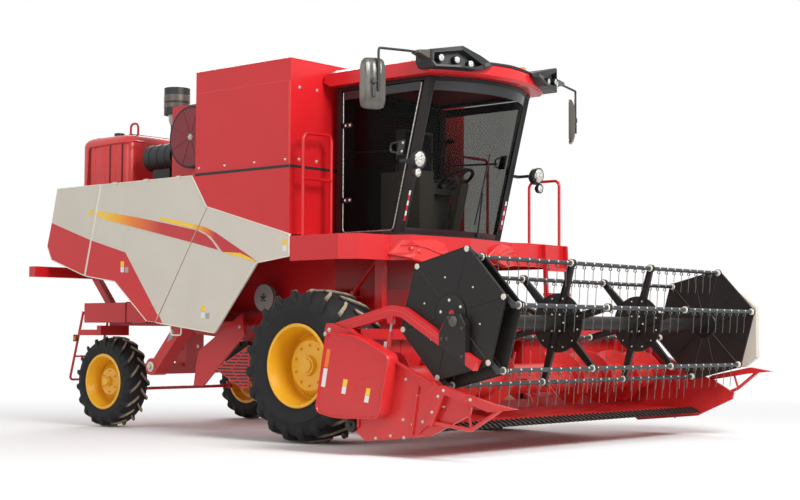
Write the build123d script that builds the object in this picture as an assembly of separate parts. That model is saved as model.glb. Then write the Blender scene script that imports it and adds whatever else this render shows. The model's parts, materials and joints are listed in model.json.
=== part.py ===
"""Self-propelled grain combine on wheels, millimetres, X forward, Y left, Z up."""

import os
from math import atan2, cos, degrees, hypot, radians, sin

from build123d import *

os.makedirs("parts", exist_ok=True)

# Whole machine. Places are measured from the ground below the drive axle's centre.
header_reach = 3250
wheelbase = 3690
rear_overhang = 1100
steer_x = -wheelbase
tail_reach = wheelbase + rear_overhang
middle_x = (header_reach - tail_reach) / 2
running_gap = 0.3
moving_gap = 8
sheet = 20

# Wheels
drive_y = 1450
drive_tyre_r = 780
drive_tyre_w = 600
drive_rim_r = 405
drive_lugs = 20
steer_y = 1140
steer_tyre_r = 535
steer_tyre_w = 320
steer_rim_r = 306
steer_lugs = 18
kingpin_y = 900
kingpin_r = 35
stub_r = 45
drive_shaft_r = 70

# Body
body_y = 1450
panel_t = 30
thresher_y = 705
deck_z = 2825
panel_top_z = 2855
tank_x = (-1905, -410)
tank_z = (2880, 4000)
tank_y = 1440
tank_wall = 30
platform_z = 2120

# Cab
cab_y = 850
cab_back_x = -300
cab_top_z = 3740
glass_t = 14
lean = 0.26
pillar_base_x = 600
pillar_w = 70

# Header and reel
feeder_pivot = (-300, 1450)
feeder_y = 450
header_y = 2280
header_end_t = 30
auger_centre = (1620, 655)
auger_r = 280
auger_tube_r = 150
reel_centre = (2490, 1212)
reel_r = 590
reel_end_y = 2080
spider_y = 700
bat_tube_r = 20
bat_angle = 73.7
tine_len = 210
tine_pitch = 150
eccentric_shift = (-80, 70)
eccentric_disc_r = 160
arm_pivot = (1010, 1138)
arm_y = 2235
arm_t = 70
reel_shaft_r = 30


def face_xz(points):
    """A flat face in the XZ plane from (x, z) points."""
    return make_face(Polyline(*[(x, 0, z) for x, z in points], close=True))


def slab(points, y0, y1):
    """A plate of an (x, z) outline, from y0 to y1."""
    return Pos(0, y0, 0) * extrude(face_xz(points), amount=y1 - y0, dir=(0, 1, 0))


def floor_plate(points, z0, z1):
    """A plate of an (x, y) outline, from z0 to z1."""
    face = make_face(Polyline(*[(x, y, z0) for x, y in points], close=True))
    return extrude(face, amount=z1 - z0, dir=(0, 0, 1))


def block(x, y, z):
    """A box between the pairs x, y and z."""
    size = (x[1] - x[0], y[1] - y[0], z[1] - z[0])
    return Pos((x[0] + x[1]) / 2, (y[0] + y[1]) / 2, (z[0] + z[1]) / 2) * Box(*size)


def rod(start, end, r):
    """A round bar between two points."""
    start, end = Vector(*start), Vector(*end)
    way = end - start
    return Plane(origin=(start + end) / 2, z_dir=way) * Cylinder(r, way.length)


def drum(x, z, y0, y1, r):
    """A cylinder across the machine."""
    return rod((x, y0, z), (x, y1, z), r)


def tube(points, r, bend):
    """A bent round tube through points."""
    path = FilletPolyline(*points, radius=bend)
    return sweep(Plane(origin=path @ 0, z_dir=path % 0) * Circle(r), path=path)


def both(shape):
    """The shape and its mirror image on the other side."""
    return [shape, mirror(shape, Plane.XZ)]


def fuse(*shapes):
    """All the shapes as one."""
    flat = []
    for shape in shapes:
        flat.extend(shape if isinstance(shape, (list, tuple)) else [shape])
    total = flat[0]
    return total + flat[1:] if len(flat) > 1 else total


def save(node, *shapes):
    """Write one node, moved to the frame whose origin is below the machine's middle."""
    solids = []
    for shape in shapes:
        for item in shape if isinstance(shape, (list, tuple)) else [shape]:
            solids.extend(item.solids())
    moved = [Pos(-middle_x, 0, 0) * solid for solid in solids]
    export_step(moved[0] if len(moved) == 1 else Compound(moved), f"parts/{node}.step")


def tyre(outer_r, width, rim_r, lugs, lug_h):
    """A ribbed farm tyre on the Y axis, its lugs fused to the carcass."""
    half = width / 2
    tread_r = outer_r - lug_h
    profile = [
        (rim_r, half * 0.80), (rim_r + 0.45 * (tread_r - rim_r), half), (tread_r - 50, half * 0.93),
        (tread_r, half * 0.72), (tread_r, -half * 0.72), (tread_r - 50, -half * 0.93),
        (rim_r + 0.45 * (tread_r - rim_r), -half), (rim_r, -half * 0.80),
    ]
    carcass = revolve(make_face(Polyline(*profile, close=True)), Axis.Y)
    lug_l, lug_w = half * 1.25, outer_r * 0.058
    bars = []
    for index in range(2 * lugs):
        side = 1 if index % 2 else -1
        bar = Box(lug_w, lug_l, lug_h + 24)
        place = Rot(0, index * 180 / lugs, 0) * Pos(0, side * half * 0.45, outer_r - (lug_h + 24) / 2 + 8)
        bars.append(place * Rot(0, 0, -side * 42) * bar)
    return (carcass + bars) & (Rot(90, 0, 0) * Cylinder(outer_r, width))


def rim(rim_r, width, disc_at, hub_r, bore_r, outward):
    """A deep-dished steel wheel on the Y axis; outward is the side that the dish opens to."""
    half = width / 2
    barrel = [
        (rim_r - 12, half * 0.92), (rim_r + 22, half * 0.92), (rim_r + 22, half * 0.86),
        (rim_r - running_gap, half * 0.80), (rim_r - running_gap, -half * 0.80), (rim_r + 22, -half * 0.86),
        (rim_r + 22, -half * 0.92), (rim_r - 12, -half * 0.92), (rim_r - 28, -half * 0.6), (rim_r - 28, half * 0.6),
    ]
    disc = [
        (bore_r, disc_at + 30), (hub_r, disc_at + 30), (hub_r, disc_at), (rim_r - 20, disc_at - 50),
        (rim_r - 20, disc_at - 66), (hub_r, disc_at - 18), (bore_r, disc_at - 18),
    ]
    wheel = [revolve(make_face(Polyline(*shape, close=True)), Axis.Y) for shape in (barrel, disc)]
    return fuse(*wheel) if outward > 0 else mirror(fuse(*wheel), Plane.XZ)


# Wheels
rim_disc_at = 60
drive_lug_h, steer_lug_h = 42, 28
drive_tyre = tyre(drive_tyre_r, drive_tyre_w, drive_rim_r, drive_lugs, drive_lug_h)
steer_tyre = tyre(steer_tyre_r, steer_tyre_w, steer_rim_r, steer_lugs, steer_lug_h)
for side, name in ((-1, "right"), (1, "left")):
    drive_at = Pos(0, side * drive_y, drive_tyre_r)
    steer_at = Pos(steer_x, side * steer_y, steer_tyre_r)
    save(f"drive_tyre_{name}", drive_at * drive_tyre)
    save(f"steer_tyre_{name}", steer_at * steer_tyre)
    bore = drive_shaft_r + running_gap
    save(f"drive_rim_{name}", drive_at * rim(drive_rim_r, drive_tyre_w, rim_disc_at, 170, bore, side))
    bore = stub_r + running_gap
    save(f"steer_rim_{name}", steer_at * rim(steer_rim_r, steer_tyre_w, 20, 95, bore, side))

# Drive axle: gearbox, tube, final drives and the stubs that carry the wheels
final_y = (drive_y - drive_tyre_w / 2 - 150, drive_y - drive_tyre_w / 2 - moving_gap)
final_drive = fuse(
    drum(0, drive_tyre_r, *final_y, 190),
    block((-120, 120), final_y, (drive_tyre_r, drive_tyre_r + 200)),
    drum(0, drive_tyre_r, final_y[1], drive_y + rim_disc_at + 60, drive_shaft_r),
)
lift_base = (0, 560)
lift_eye = (850, 455)
lift_y = 360
lift_pin_r = 12
lift_ears = [slab([(-60, 700), (60, 700), (28, 532), (-28, 532)], lift_y + shift, lift_y + shift + 20) for shift in (-70, 50)]
lift_ears.append(drum(*lift_base, lift_y - 70, lift_y + 70, lift_pin_r))
save("drive_axle", fuse(
    [item for ear in lift_ears for item in both(ear)],
    drum(0, drive_tyre_r, -final_y[0], final_y[0], 100),
    block((-230, 130), (-230, 230), (drive_tyre_r - 190, drive_tyre_r + 150)),
    both(final_drive),
))

# Steering axle: box beam on a centre pivot, bosses at the ends for the kingpins
boss_z = (600, 750)
axle_beam = fuse(
    block((steer_x - 60, steer_x + 60), (-kingpin_y, kingpin_y), (610, 740)),
    both(rod((steer_x, kingpin_y, boss_z[0]), (steer_x, kingpin_y, boss_z[1]), 72)),
    block((steer_x - 90, steer_x + 90), (-110, 110), (700, 900)),
)
for side in (-1, 1):
    pin_hole = rod((steer_x, side * kingpin_y, 590), (steer_x, side * kingpin_y, 760),
                   kingpin_r + running_gap)
    axle_beam -= pin_hole
pivot_pin_z, pivot_pin_r = 840, 32
axle_beam -= rod((steer_x - 100, 0, pivot_pin_z), (steer_x + 100, 0, pivot_pin_z), pivot_pin_r + running_gap)
save("steer_axle", axle_beam)

# Knuckles: pin, fork block, stub for the wheel and an arm to the track rod
track_arm = 210
track_rod_z = 430
for side, name in ((-1, "right"), (1, "left")):
    y = side * kingpin_y
    outer = side * (steer_y + 70)
    arm_tip = (steer_x - track_arm, y)
    knuckle = fuse(
        rod((steer_x, y, 450), (steer_x, y, 790), kingpin_r),
        rod((steer_x, y, boss_z[1] + running_gap), (steer_x, y, 790), 60),
        rod((steer_x, y, 460), (steer_x, y, boss_z[0] - running_gap), 66),
        rod((steer_x, y, steer_tyre_r), (steer_x, outer, steer_tyre_r), stub_r),
        block((steer_x - track_arm, steer_x), (y - 28, y + 28), (460, 490)),
        rod((*arm_tip, 460), (*arm_tip, 490), 40),
        rod((*arm_tip, track_rod_z - 40), (*arm_tip, 470), 16),
    )
    save(f"knuckle_{name}", knuckle)
rod_ends = [rod((steer_x - track_arm, side * kingpin_y, track_rod_z - 25),
                (steer_x - track_arm, side * kingpin_y, track_rod_z + 25), 38) for side in (-1, 1)]
track_rod = fuse(rod((steer_x - track_arm, -kingpin_y, track_rod_z),
                     (steer_x - track_arm, kingpin_y, track_rod_z), 20), rod_ends)
for side in (-1, 1):
    track_rod -= rod((steer_x - track_arm, side * kingpin_y, track_rod_z - 60),
                     (steer_x - track_arm, side * kingpin_y, track_rod_z + 60), 16 + running_gap)
save("track_rod", track_rod)

# Chassis: bars that meet face to face: rails, cross members, axle mounts, hitch and tail beam
rail_y = (705, 785)
rail_z = (1200, 1360)
rail_x = (steer_x - 540, 420)
tail_depth = 120
tail_x = (-tail_reach + 70, -tail_reach + 70 + tail_depth)
tail_z = (1787, 1913)
tail_half = 1620
cross_member = 100
hitch_z = 1280
hitch_half = 60
hitch_slot = 60
hitch_hole_r = 16
hitch_x = rail_x[0] - 140
hitch = block((rail_x[0] - 190, rail_x[0]), (-70, 70), (hitch_z - hitch_half, hitch_z + hitch_half))
hitch -= block((rail_x[0] - 200, rail_x[0] - 80), (-80, 80), (hitch_z - hitch_slot / 2, hitch_z + hitch_slot / 2))
hitch -= rod((hitch_x, 0, hitch_z - 80), (hitch_x, 0, hitch_z + 80), hitch_hole_r)
axle_post = block((-110, 110), (rail_y[0], rail_y[1] + 160), (drive_tyre_r + 100, rail_z[0]))
tail_post = slab([(rail_x[0], rail_z[1]), (rail_x[0] + 80, rail_z[1]), (rail_x[0] + 80, rail_z[1] + 60),
                  (tail_x[1], tail_z[1]), (tail_x[1], tail_z[0]), (rail_x[0], rail_z[1] + 20)], *rail_y)
mount_x = (110, 150)
steer_mount = fuse(
    [block(sorted((steer_x + side * mount_x[0], steer_x + side * mount_x[1])), (-140, 140),
           (pivot_pin_z - 80, rail_z[1] - 60)) for side in (-1, 1)],
    rod((steer_x - mount_x[1], 0, pivot_pin_z), (steer_x + mount_x[1], 0, pivot_pin_z), pivot_pin_r),
)
bracket_y = (620, rail_y[0])
feeder_bracket = block((feeder_pivot[0] - 80, feeder_pivot[0] + 80), bracket_y, (rail_z[0] + 20, feeder_pivot[1] + 70))
save("chassis_frame",
     both(block(rail_x, rail_y, rail_z)),
     block((rail_x[0], rail_x[0] + cross_member), (-rail_y[0], rail_y[0]), rail_z),
     block((steer_x - mount_x[1], steer_x + mount_x[1]), (-rail_y[0], rail_y[0]), (rail_z[1] - 60, rail_z[1])),
     both(axle_post), both(tail_post), both(feeder_bracket),
     steer_mount, hitch,
     block(tail_x, (-tail_half, tail_half), tail_z),
     drum(*feeder_pivot, -bracket_y[0], bracket_y[0], 30),
     both(block((200, 300), rail_y, (rail_z[1], platform_z - 30))))

# Threshing body with the engine deck on top; the deck's edges carry the side panels' hinge pins
deck_half = body_y - panel_t - running_gap
deck_t = 40
panel_back_x = steer_x + 125
panel_front_x = -1950
hinge_line = (body_y - panel_t / 2, panel_top_z + 6)
hinge_barrel = (80, 9)
hinge_pin_r = 4
hinge_leaf = 18
panel_hinge_x = [panel_front_x + (panel_back_x - panel_front_x) * share for share in (0.15, 0.5, 0.85)]
deck_back_x = steer_x - 210
deck = [block((deck_back_x, tank_x[0] - 36), (-deck_half, deck_half), (deck_z - deck_t, deck_z))]
for x in panel_hinge_x:
    leaf_x = x + hinge_barrel[0] / 2 + running_gap
    leaf = fuse(block((leaf_x, leaf_x + hinge_leaf), (deck_half - 40, hinge_line[0] + 9), (panel_top_z, hinge_line[1] + 9)),
                block((leaf_x, leaf_x + hinge_leaf), (deck_half - 40, deck_half), (deck_z, panel_top_z)),
                rod((x - hinge_barrel[0] / 2, *hinge_line), (leaf_x, *hinge_line), hinge_pin_r))
    deck += both(leaf)
save("thresher_body",
     slab([(-450, 1300), (-450, 2145), (tank_x[0] - 36, 2145), (tank_x[0] - 36, deck_z - deck_t),
           (steer_x - 260, deck_z - deck_t), (steer_x - 260, 1950), (steer_x + 390, 1550), (-2700, 1100),
           (-1400, 980), (-900, 1020)], -thresher_y, thresher_y),
     fuse(*deck))

# Side panels: cheeks of the tank base above, fixed front panels, hinged middle panels, rear hood
kink = (-1681, 2492)
front_edge = (-405, 2145)
panel_in = body_y - panel_t
turret_at = (-760, 1640)
turret_top = 2720
tank_base = fuse(
    block((tank_x[0] - 36, -402), (-1400, 1400), (2145, tank_z[0])),
    both(slab([(tank_x[0] - 36, 2850), kink, front_edge, (-405, tank_z[0]), (tank_x[0] - 36, tank_z[0])], 1400, body_y)),
    block((turret_at[0] - 100, turret_at[0] + 100), (1400, turret_at[1]), (2400, 2640)),
    rod((*turret_at, 2340), (*turret_at, turret_top - running_gap), 125),
)
save("tank_base", tank_base)
save("front_panels", both(slab(
    [kink, front_edge, (-403, 1909), (-893, 1853), (-1553, 1109), (-2531, 1222)], panel_in, body_y)))
mid_outline = [(panel_back_x, panel_top_z), (panel_front_x, panel_top_z), (-1694, 2492), (-2546, 1228), (-2700, 1242),
               (steer_x + 410, 1700), (steer_x - 153, 1779)]
mid_panel = slab(mid_outline, panel_in, body_y)
for x in panel_hinge_x:
    half_barrel = hinge_barrel[0] / 2
    mid_panel += rod((x - half_barrel, *hinge_line), (x + half_barrel, *hinge_line), hinge_barrel[1])
    mid_panel -= rod((x - half_barrel - 1, *hinge_line), (x + half_barrel + 1, *hinge_line), hinge_pin_r + running_gap)
    mid_panel -= block((x + half_barrel, x + half_barrel + hinge_leaf + 2 * moving_gap), (panel_in - 1, body_y + 1),
                       (panel_top_z - 20, panel_top_z + 1))
save("mid_panel_left", mid_panel)
save("mid_panel_right", mirror(mid_panel, Plane.XZ))
hood_outline = [(steer_x + 113, panel_top_z), (steer_x - 167, 1785), (steer_x - 821, 1992), (steer_x - 913, 2160),
                (steer_x - 831, 2444), (steer_x - 729, panel_top_z)]
hood_inside = [(steer_x + 190, deck_z), (steer_x - 110, 1650), (steer_x - 788, 1880), (steer_x - 881, 2160),
               (steer_x - 800, 2440), (steer_x - 705, deck_z)]
save("rear_hood", slab(hood_outline, -body_y, body_y) - slab(hood_inside, -panel_in, panel_in))

# Grain tank, open above
tank_shell = block(tank_x, (-tank_y, tank_y), tank_z)
tank_hollow = block((tank_x[0] + tank_wall, tank_x[1] - tank_wall), (-tank_y + tank_wall, tank_y - tank_wall),
                    (tank_z[0] + tank_wall, tank_z[1] + 10))
save("grain_tank", tank_shell - tank_hollow)

# Unloading tube: upright elbow on the turret, long tube folded back along the left side
unload_z = 3060
save("unload_tube", tube(
    [(*turret_at, turret_top), (*turret_at, unload_z), (-4230, turret_at[1], unload_z), (-4420, turret_at[1], 2860)],
    105, 130))

# Engine, radiator box with its round rotating screen, fuel tank and air cleaner
save("engine", fuse(block((-3150, -2150), (-300, 400), (deck_z, 3330)), block((-2900, -2300), (-200, 300), (3330, 3470))))
screen_at = (-2285, 3340)
screen_r = 355
screen_y = (-1195, -1160)
radiator = block((-2650, -1945), (-1150, -720), (deck_z, 3720))
radiator -= drum(*screen_at, -1200, -1060, 25 + running_gap)
save("radiator_box", radiator)
save("dust_screen", fuse(drum(*screen_at, *screen_y, screen_r), drum(*screen_at, -1195, -1070, 25)))
fuel = block((-4375, -3440), (-1150, -330), (panel_top_z, 3490))
fuel = fillet(fuel.edges().filter_by(Axis.Z), 110)
save("fuel_tank", fuse(fuel, rod((-4120, -760, 3480), (-4120, -760, 3560), 60)))
save("air_cleaner", fuse(
    rod((-3190, -985, 3170), (-2700, -985, 3170), 160),
    block((-3100, -2800), (-1060, -910), (deck_z, 3060)),
    rod((-2800, -960, 3170), (-2800, -960, 3690), 70),
    rod((-2800, -960, 3660), (-2800, -960, 3975), 150),
))

# Cab: floor, leaning front pillars, rear posts and wall, top ring; glass and doors
floor_z = (platform_z, platform_z + 30)
ring_z = (3700, cab_top_z)
pillar_h = ring_z[0] - floor_z[1]


def cab_plan(shift, half, inset, z0, z1, bulge=112):
    """A cab-wide plate whose front edge is a shallow arc."""
    back, side_x = cab_back_x + inset, pillar_base_x + shift - inset
    y = half - inset
    edge = [Line((side_x, -y, z0), (back, -y, z0)), Line((back, -y, z0), (back, y, z0)),
            Line((back, y, z0), (side_x, y, z0)),
            ThreePointArc((side_x, y, z0), (side_x + bulge, 0, z0), (side_x, -y, z0))]
    return extrude(make_face(edge), amount=z1 - z0, dir=(0, 0, 1))


def leaning(face_points, z0, height):
    """A plate outline pushed up along the slope of the windscreen."""
    face = make_face(Polyline(*[(x, y, z0) for x, y in face_points], close=True))
    way = Vector(lean, 0, 1)
    return extrude(face, amount=height * way.length, dir=tuple(way.normalized()))


top_shift = lean * (pillar_h + 30)
a_pillar = leaning([(pillar_base_x - pillar_w, cab_y - pillar_w), (pillar_base_x, cab_y - pillar_w),
                    (pillar_base_x, cab_y), (pillar_base_x - pillar_w, cab_y)], floor_z[1], pillar_h)
rear_post = block((cab_back_x, cab_back_x + pillar_w), (cab_y - 60, cab_y), (floor_z[1], ring_z[0]))
back_wall = block((cab_back_x, cab_back_x + 30), (-cab_y + 60, cab_y - 60), (floor_z[1], ring_z[0]))
back_window = ((-600, 600), (2900, 3560))
back_wall -= block((cab_back_x - 10, cab_back_x + 50), *back_window)
hinge_at = (cab_back_x + pillar_w + 12, cab_y + 11)
hinge_rows = (2520, 3320)
hinge_pins = []
for z in hinge_rows:
    lug = block((cab_back_x + 30, hinge_at[0] + 9), (cab_y, cab_y + 20), (z - 45, z - 30 - running_gap))
    hinge_pins += [fuse(lug, rod((*hinge_at, z - 45), (*hinge_at, z + 30), 5))]
shell = fuse(
    cab_plan(0, cab_y, 0, *floor_z),
    both(a_pillar), both(rear_post), back_wall,
    cab_plan(top_shift, cab_y, 0, *ring_z) - cab_plan(top_shift, cab_y, 60, ring_z[0] - 5, ring_z[1] + 5),
    [item for pin in hinge_pins for item in both(pin)],
)
save("cab_shell", shell)


def windscreen_face(shift, z):
    """The plan of the curved windscreen between the pillars."""
    y, x, bulge = cab_y - pillar_w - running_gap, pillar_base_x - 12 + shift, 110
    outer = ThreePointArc((x, y, z), (x + bulge, 0, z), (x, -y, z))
    inner = ThreePointArc((x - glass_t, -y, z), (x + bulge - glass_t, 0, z), (x - glass_t, y, z))
    return make_face([outer, Line(outer @ 1, inner @ 0), inner, Line(inner @ 1, outer @ 0)])


way = Vector(lean, 0, 1)
windscreen = extrude(windscreen_face(0, floor_z[1]), amount=pillar_h * way.length, dir=tuple(way.normalized()))
save("cab_glass", windscreen, block((cab_back_x + 8, cab_back_x + 22), *back_window))

door_gap = 10
door_x = (cab_back_x + pillar_w + door_gap, pillar_base_x - pillar_w - door_gap)
door_z = (floor_z[1] + door_gap, ring_z[0] - door_gap)
door = slab([(door_x[0], door_z[0]), (door_x[1], door_z[0]),
             (door_x[1] + lean * (door_z[1] - door_z[0]), door_z[1]), (door_x[0], door_z[1])], cab_y - 16, cab_y)
for z in hinge_rows:
    leaf = block((hinge_at[0], hinge_at[0] + 40), (cab_y, cab_y + 20), (z - 30, z + 30))
    door += [leaf, rod((*hinge_at, z - 30), (*hinge_at, z + 30), 9)]
    door -= rod((*hinge_at, z - 31), (*hinge_at, z + 31), 5 + running_gap)
    door -= block((door_x[0] - 1, hinge_at[0] + 22), (cab_y - 17, cab_y + 1), (z - 53, z - 30))
save("cab_door_left", door)
save("cab_door_right", mirror(door, Plane.XZ))

roof = slab([(-395, 3790), (-395, 3925), (880, 3930), (1060, 3850), (1060, 3775), (1010, cab_top_z),
             (-300, cab_top_z)], -950, 950)
save("cab_roof", roof)
lamp_pod = slab([(880, 3930), (890, 3975), (1180, 3975), (1245, 3930), (1235, 3860), (1060, 3850)], 110, 950)
pillar_lamp = fuse(rod((930, 1000, 2860), (1010, 1000, 2850), 92),
                   block((730, 770), (cab_y, 990), (2850, 2880)), block((730, 940), (975, 1005), (2850, 2880)))
save("work_lamps", both(lamp_pod), both(pillar_lamp), rod((960, 800, 3975), (960, 800, 4035), 45))
mirror_arm = tube([(1130, 950, 3905), (1130, 1300, 3905), (1010, 1690, 3880), (988, 1700, 3560)], 12, 50)
mirror_head = fillet(block((965, 1010), (1590, 1790), (3300, 3790)).edges().filter_by(Axis.X), 60)
save("mirrors", *both(fuse(mirror_arm, mirror_head)))

# Operator's seat, console and steering column
seat = fuse(
    block((60, 520), (-250, 250), (2600, 2720)), block((0, 120), (-240, 240), (2700, 3330)),
    block((140, 420), (-160, 160), (2150, 2600)),
)
column = fuse(
    leaning([(560, -60), (640, -60), (640, 60), (560, 60)], 2150, 560),
    Pos(660, 0, 2760) * Rot(0, -30, 0) * (Torus(190, 16) + Cylinder(35, 60) + Box(380, 30, 12) + Box(30, 380, 12)),
)
column = fuse(column, rod((655, 0, 2690), (662, 0, 2765), 30))
save("operator_station", seat, column, block((80, 620), (-560, -330), (2150, 2820)))

# Platform in front of the tank, with its fascia and braces
deck_plan = [(-392, -1450), (300, -1450), (500, -1350), (560, -950), (760, -850), (860, 0), (760, 850),
             (860, 1000), (860, 1730), (-392, 1730)]
deck_inner = [(-392, -1425), (290, -1425), (478, -1335), (536, -930), (740, -825), (835, 0), (740, 825),
              (836, 1015), (836, 1706), (-392, 1706)]
platform = floor_plate(deck_plan, 2090, platform_z)
fascia = floor_plate(deck_plan, 1860, 2090) - floor_plate(deck_inner, 1850, 2095)
platform = fuse(platform, fascia, rod((-212, -662, 1545), (330, -662, 2095), 24),
                block((-250, -196), (-686, -638), (feeder_pivot[1] + 70, 1560)))
save("platform", platform)

# Handrails on the platform and ladders at the left front and the rear
rail_r = 17
rail_top = 3190
right_rail = fuse(
    tube([(-250, -1405, platform_z), (-250, -1405, rail_top), (-250, -985, rail_top + 20), (-250, -985, platform_z)],
         rail_r, 70),
    rod((-250, -1405, 2720), (-250, -985, 2720), rail_r),
)
left_rails = [
    tube([(370, 1700, platform_z), (370, 1700, 2880), (800, 1700, 2880), (800, 1700, platform_z)], rail_r, 70),
    tube([(-250, 1700, platform_z), (-250, 1700, rail_top), (-250, 985, rail_top), (-250, 985, platform_z)],
         rail_r, 70),
]
save("handrails", right_rail, left_rails)
ladder_y = (1290, 1700)
side_ladder = [slab([(868, 2110), (912, 2110), (985, 640), (925, 640)], y - 15, y + 15) for y in ladder_y]
side_ladder += [block((870, 960), ladder_y, (z, z + 30)) for z in (700, 980, 1260, 1540, 1820)]
side_ladder += [block((860, 900), (y - 15, y + 15), (2092, 2118)) for y in ladder_y]
ladder_tube_r = 15
rear_ladder_y = (-960, -560)
ladder_foot = (-tail_reach + ladder_tube_r, 530)
ladder_slope = 0.30
ladder_head = (ladder_foot[0] + ladder_slope * 850, 1380)


def ladder_x(z):
    """The rear ladder's rails at a height."""
    return ladder_foot[0] + ladder_slope * (z - ladder_foot[1])


rear_ladder = [tube([(ladder_head[0], rear_ladder_y[0], ladder_head[1]), (ladder_foot[0], rear_ladder_y[0], ladder_foot[1]),
                     (ladder_foot[0], rear_ladder_y[1], ladder_foot[1]), (ladder_head[0], rear_ladder_y[1], ladder_head[1])],
                    ladder_tube_r, 45)]
rear_ladder += [rod((ladder_x(z), rear_ladder_y[0], z), (ladder_x(z), rear_ladder_y[1], z), 12) for z in (820, 1110)]
rear_ladder += [block((ladder_x(1110), rail_x[0] + 80), (y - 14, y + 14), (1080, 1150)) for y in rear_ladder_y]
rear_ladder.append(block((rail_x[0], rail_x[0] + 80), (rear_ladder_y[0] - 14, rear_ladder_y[1] + 14), (1080, rail_z[0])))
save("ladders", fuse(*side_ladder), fuse(*rear_ladder))

# Grain elevator on the right with its foot, gusset and belt pulleys
elevator_foot = (steer_x + 765, 720)
elevator = fuse(
    slab([(elevator_foot[0] - 65, 700), (elevator_foot[0] + 75, 660), (-1990, 1560), (-2100, 1660)], -1190, -1000),
    drum(*elevator_foot, -1190, -1000, 98),
    slab([(-2400, 510), (-2240, 510), (-1560, 1090), (-1600, 1330), (-2330, 900)], -1000, -975),
    block((-2060, -1980), (-1100, -785), (1300, 1360)),
    block((-2300, -1700), (-1000, -785), (1200, 1240)),
)
pulleys = [drum(x, z, -905, -845, r) for x, z, r in ((-1355, 1500, 150), (-2300, 1480, 190), (-3000, 1750, 120))]
shafts = [drum(x, z, -846, -thresher_y, 25) for x, z in ((-1355, 1500), (-2300, 1480), (-3000, 1750))]
save("grain_elevator", elevator)
save("belt_pulleys", *[fuse(pulley, shaft) for pulley, shaft in zip(pulleys, shafts)])
save("tool_box", block((steer_x - 760, steer_x + 540), (-1000, -rail_y[1]), (1235, 1475)))

# Feeder housing, hinged on the chassis shaft
feeder_outline = [(-330, 1600), (380, 1575), (1180, 1100), (1180, 360), (-200, 1170), (-330, 1300)]
feeder_inside = [(-400, 1578), (374, 1553), (1250, 1034), (1250, 343), (-192, 1196), (-400, 1360)]
feeder = slab(feeder_outline, -feeder_y, feeder_y) - slab(feeder_inside, -feeder_y + sheet, feeder_y - sheet)
for side in (-1, 1):
    ear = drum(*feeder_pivot, side * (feeder_y - sheet), side * (feeder_y + 60), 62)
    feeder += ear
feeder -= drum(*feeder_pivot, -600, 600, 30 + running_gap)
for side in (-1, 1):
    for y in (lift_y - 45, lift_y + 25):
        feeder += slab([(780, 610), (930, 522), (885, 420), (815, 420)], side * y, side * (y + 20))
    feeder += drum(*lift_eye, side * (lift_y - 45), side * (lift_y + 45), lift_pin_r)
save("feeder_house", feeder)

# Header: back wall with the feeder mouth, trough, end sheets, drive cover and arm brackets
header_back_x = (1180, 1215)
trough = [(1215, 560), (1290, 430), (1400, 345), (1540, 300), (1700, 290), (1900, 300), (2190, 262), (2190, 240),
          (1900, 275), (1700, 262), (1530, 272), (1385, 318), (1270, 405), (1180, 540), (1180, 900), (1215, 900)]
end_sheet = [(1180, 1150), (1300, 1150), (1749, 906), (2541, 568), (2720, 470), (2700, 400), (2260, 205),
             (1487, 130), (1250, 300), (1180, 540)]
header = fuse(
    block(header_back_x, (-header_y, header_y), (540, 1080)),
    block((1180, 1300), (-arm_y + 60, arm_y - 60), (1050, 1150)),
    slab(trough, -header_y, header_y),
    both(slab(end_sheet, header_y, header_y + header_end_t)),
    slab([(1109, 1119), (975, 377), (1230, 330), (1773, 339), (1900, 907), (1500, 1080)],
         -2450, -header_y - header_end_t),
)
header -= block((1100, 1300), (-feeder_y + sheet, feeder_y - sheet), (380, 1034))
arm_ear = [(930, 1080), (1090, 1080), (1200, 1000), (1200, 1150), (1050, 1200), (970, 1200)]
for side in (-1, 1):
    for y in (arm_y - 60, arm_y + 40):
        header += slab(arm_ear, side * y, side * (y + 20))
    header += drum(*arm_pivot, side * (arm_y - 60), side * (arm_y + 60), 20)
reel_lift_base = (1660, 800)
for side in (-1, 1):
    header += drum(*reel_lift_base, side * (arm_y - 18), side * (header_y + 5), 15)
auger_bearing_r = 30
header += [drum(*auger_centre, side * 2150, side * (header_y + 5), auger_bearing_r) for side in (-1, 1)]
save("header_frame", header)

# Crop dividers on both ends, with a top plate, a bent lower tube and a pointed tip
near_tip, far_tip = (header_reach, 471), (header_reach - 79, 711)
divider_w = 55
dividers = []
for side, tip in ((-1, near_tip), (1, far_tip)):
    y0, y1 = side * (header_y + header_end_t), side * (header_y + header_end_t + divider_w)
    top = slab([(2380, 600), (2430, 655), (tip[0] - 260, tip[1] + 40), tip, (tip[0] - 300, tip[1] - 30)], y0, y1)
    mid_y = (y0 + y1) / 2
    elbow = (2750, mid_y, tip[1] - 190)
    lower = tube([(2300, mid_y, 330), elbow, (tip[0] - 180, mid_y, tip[1] - 5)], 18, 60)
    stay = rod(elbow, (2700, mid_y, 600 + (tip[1] - 630) * 320 / (tip[0] - 2680) + 15), 12)
    dividers.append(fuse(top, lower, stay, slab([(2250, 300), (2330, 300), (2480, 600), (2380, 620)], y0, y1)))
save("crop_dividers", *dividers)

# Cutter bar with its guards
guard_pitch = 76.2
bar_x = (2190, 2235)
guards = []
count = int(2 * (header_y - 40) / guard_pitch)
for index in range(count + 1):
    y = -count * guard_pitch / 2 + index * guard_pitch
    guards.append(slab([(2230, 242), (2230, 268), (2345, 252), (2345, 246)], y - 11, y + 11))
save("cutter_bar", fuse(block(bar_x, (-header_y, header_y), (240, 270)), *guards))

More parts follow.
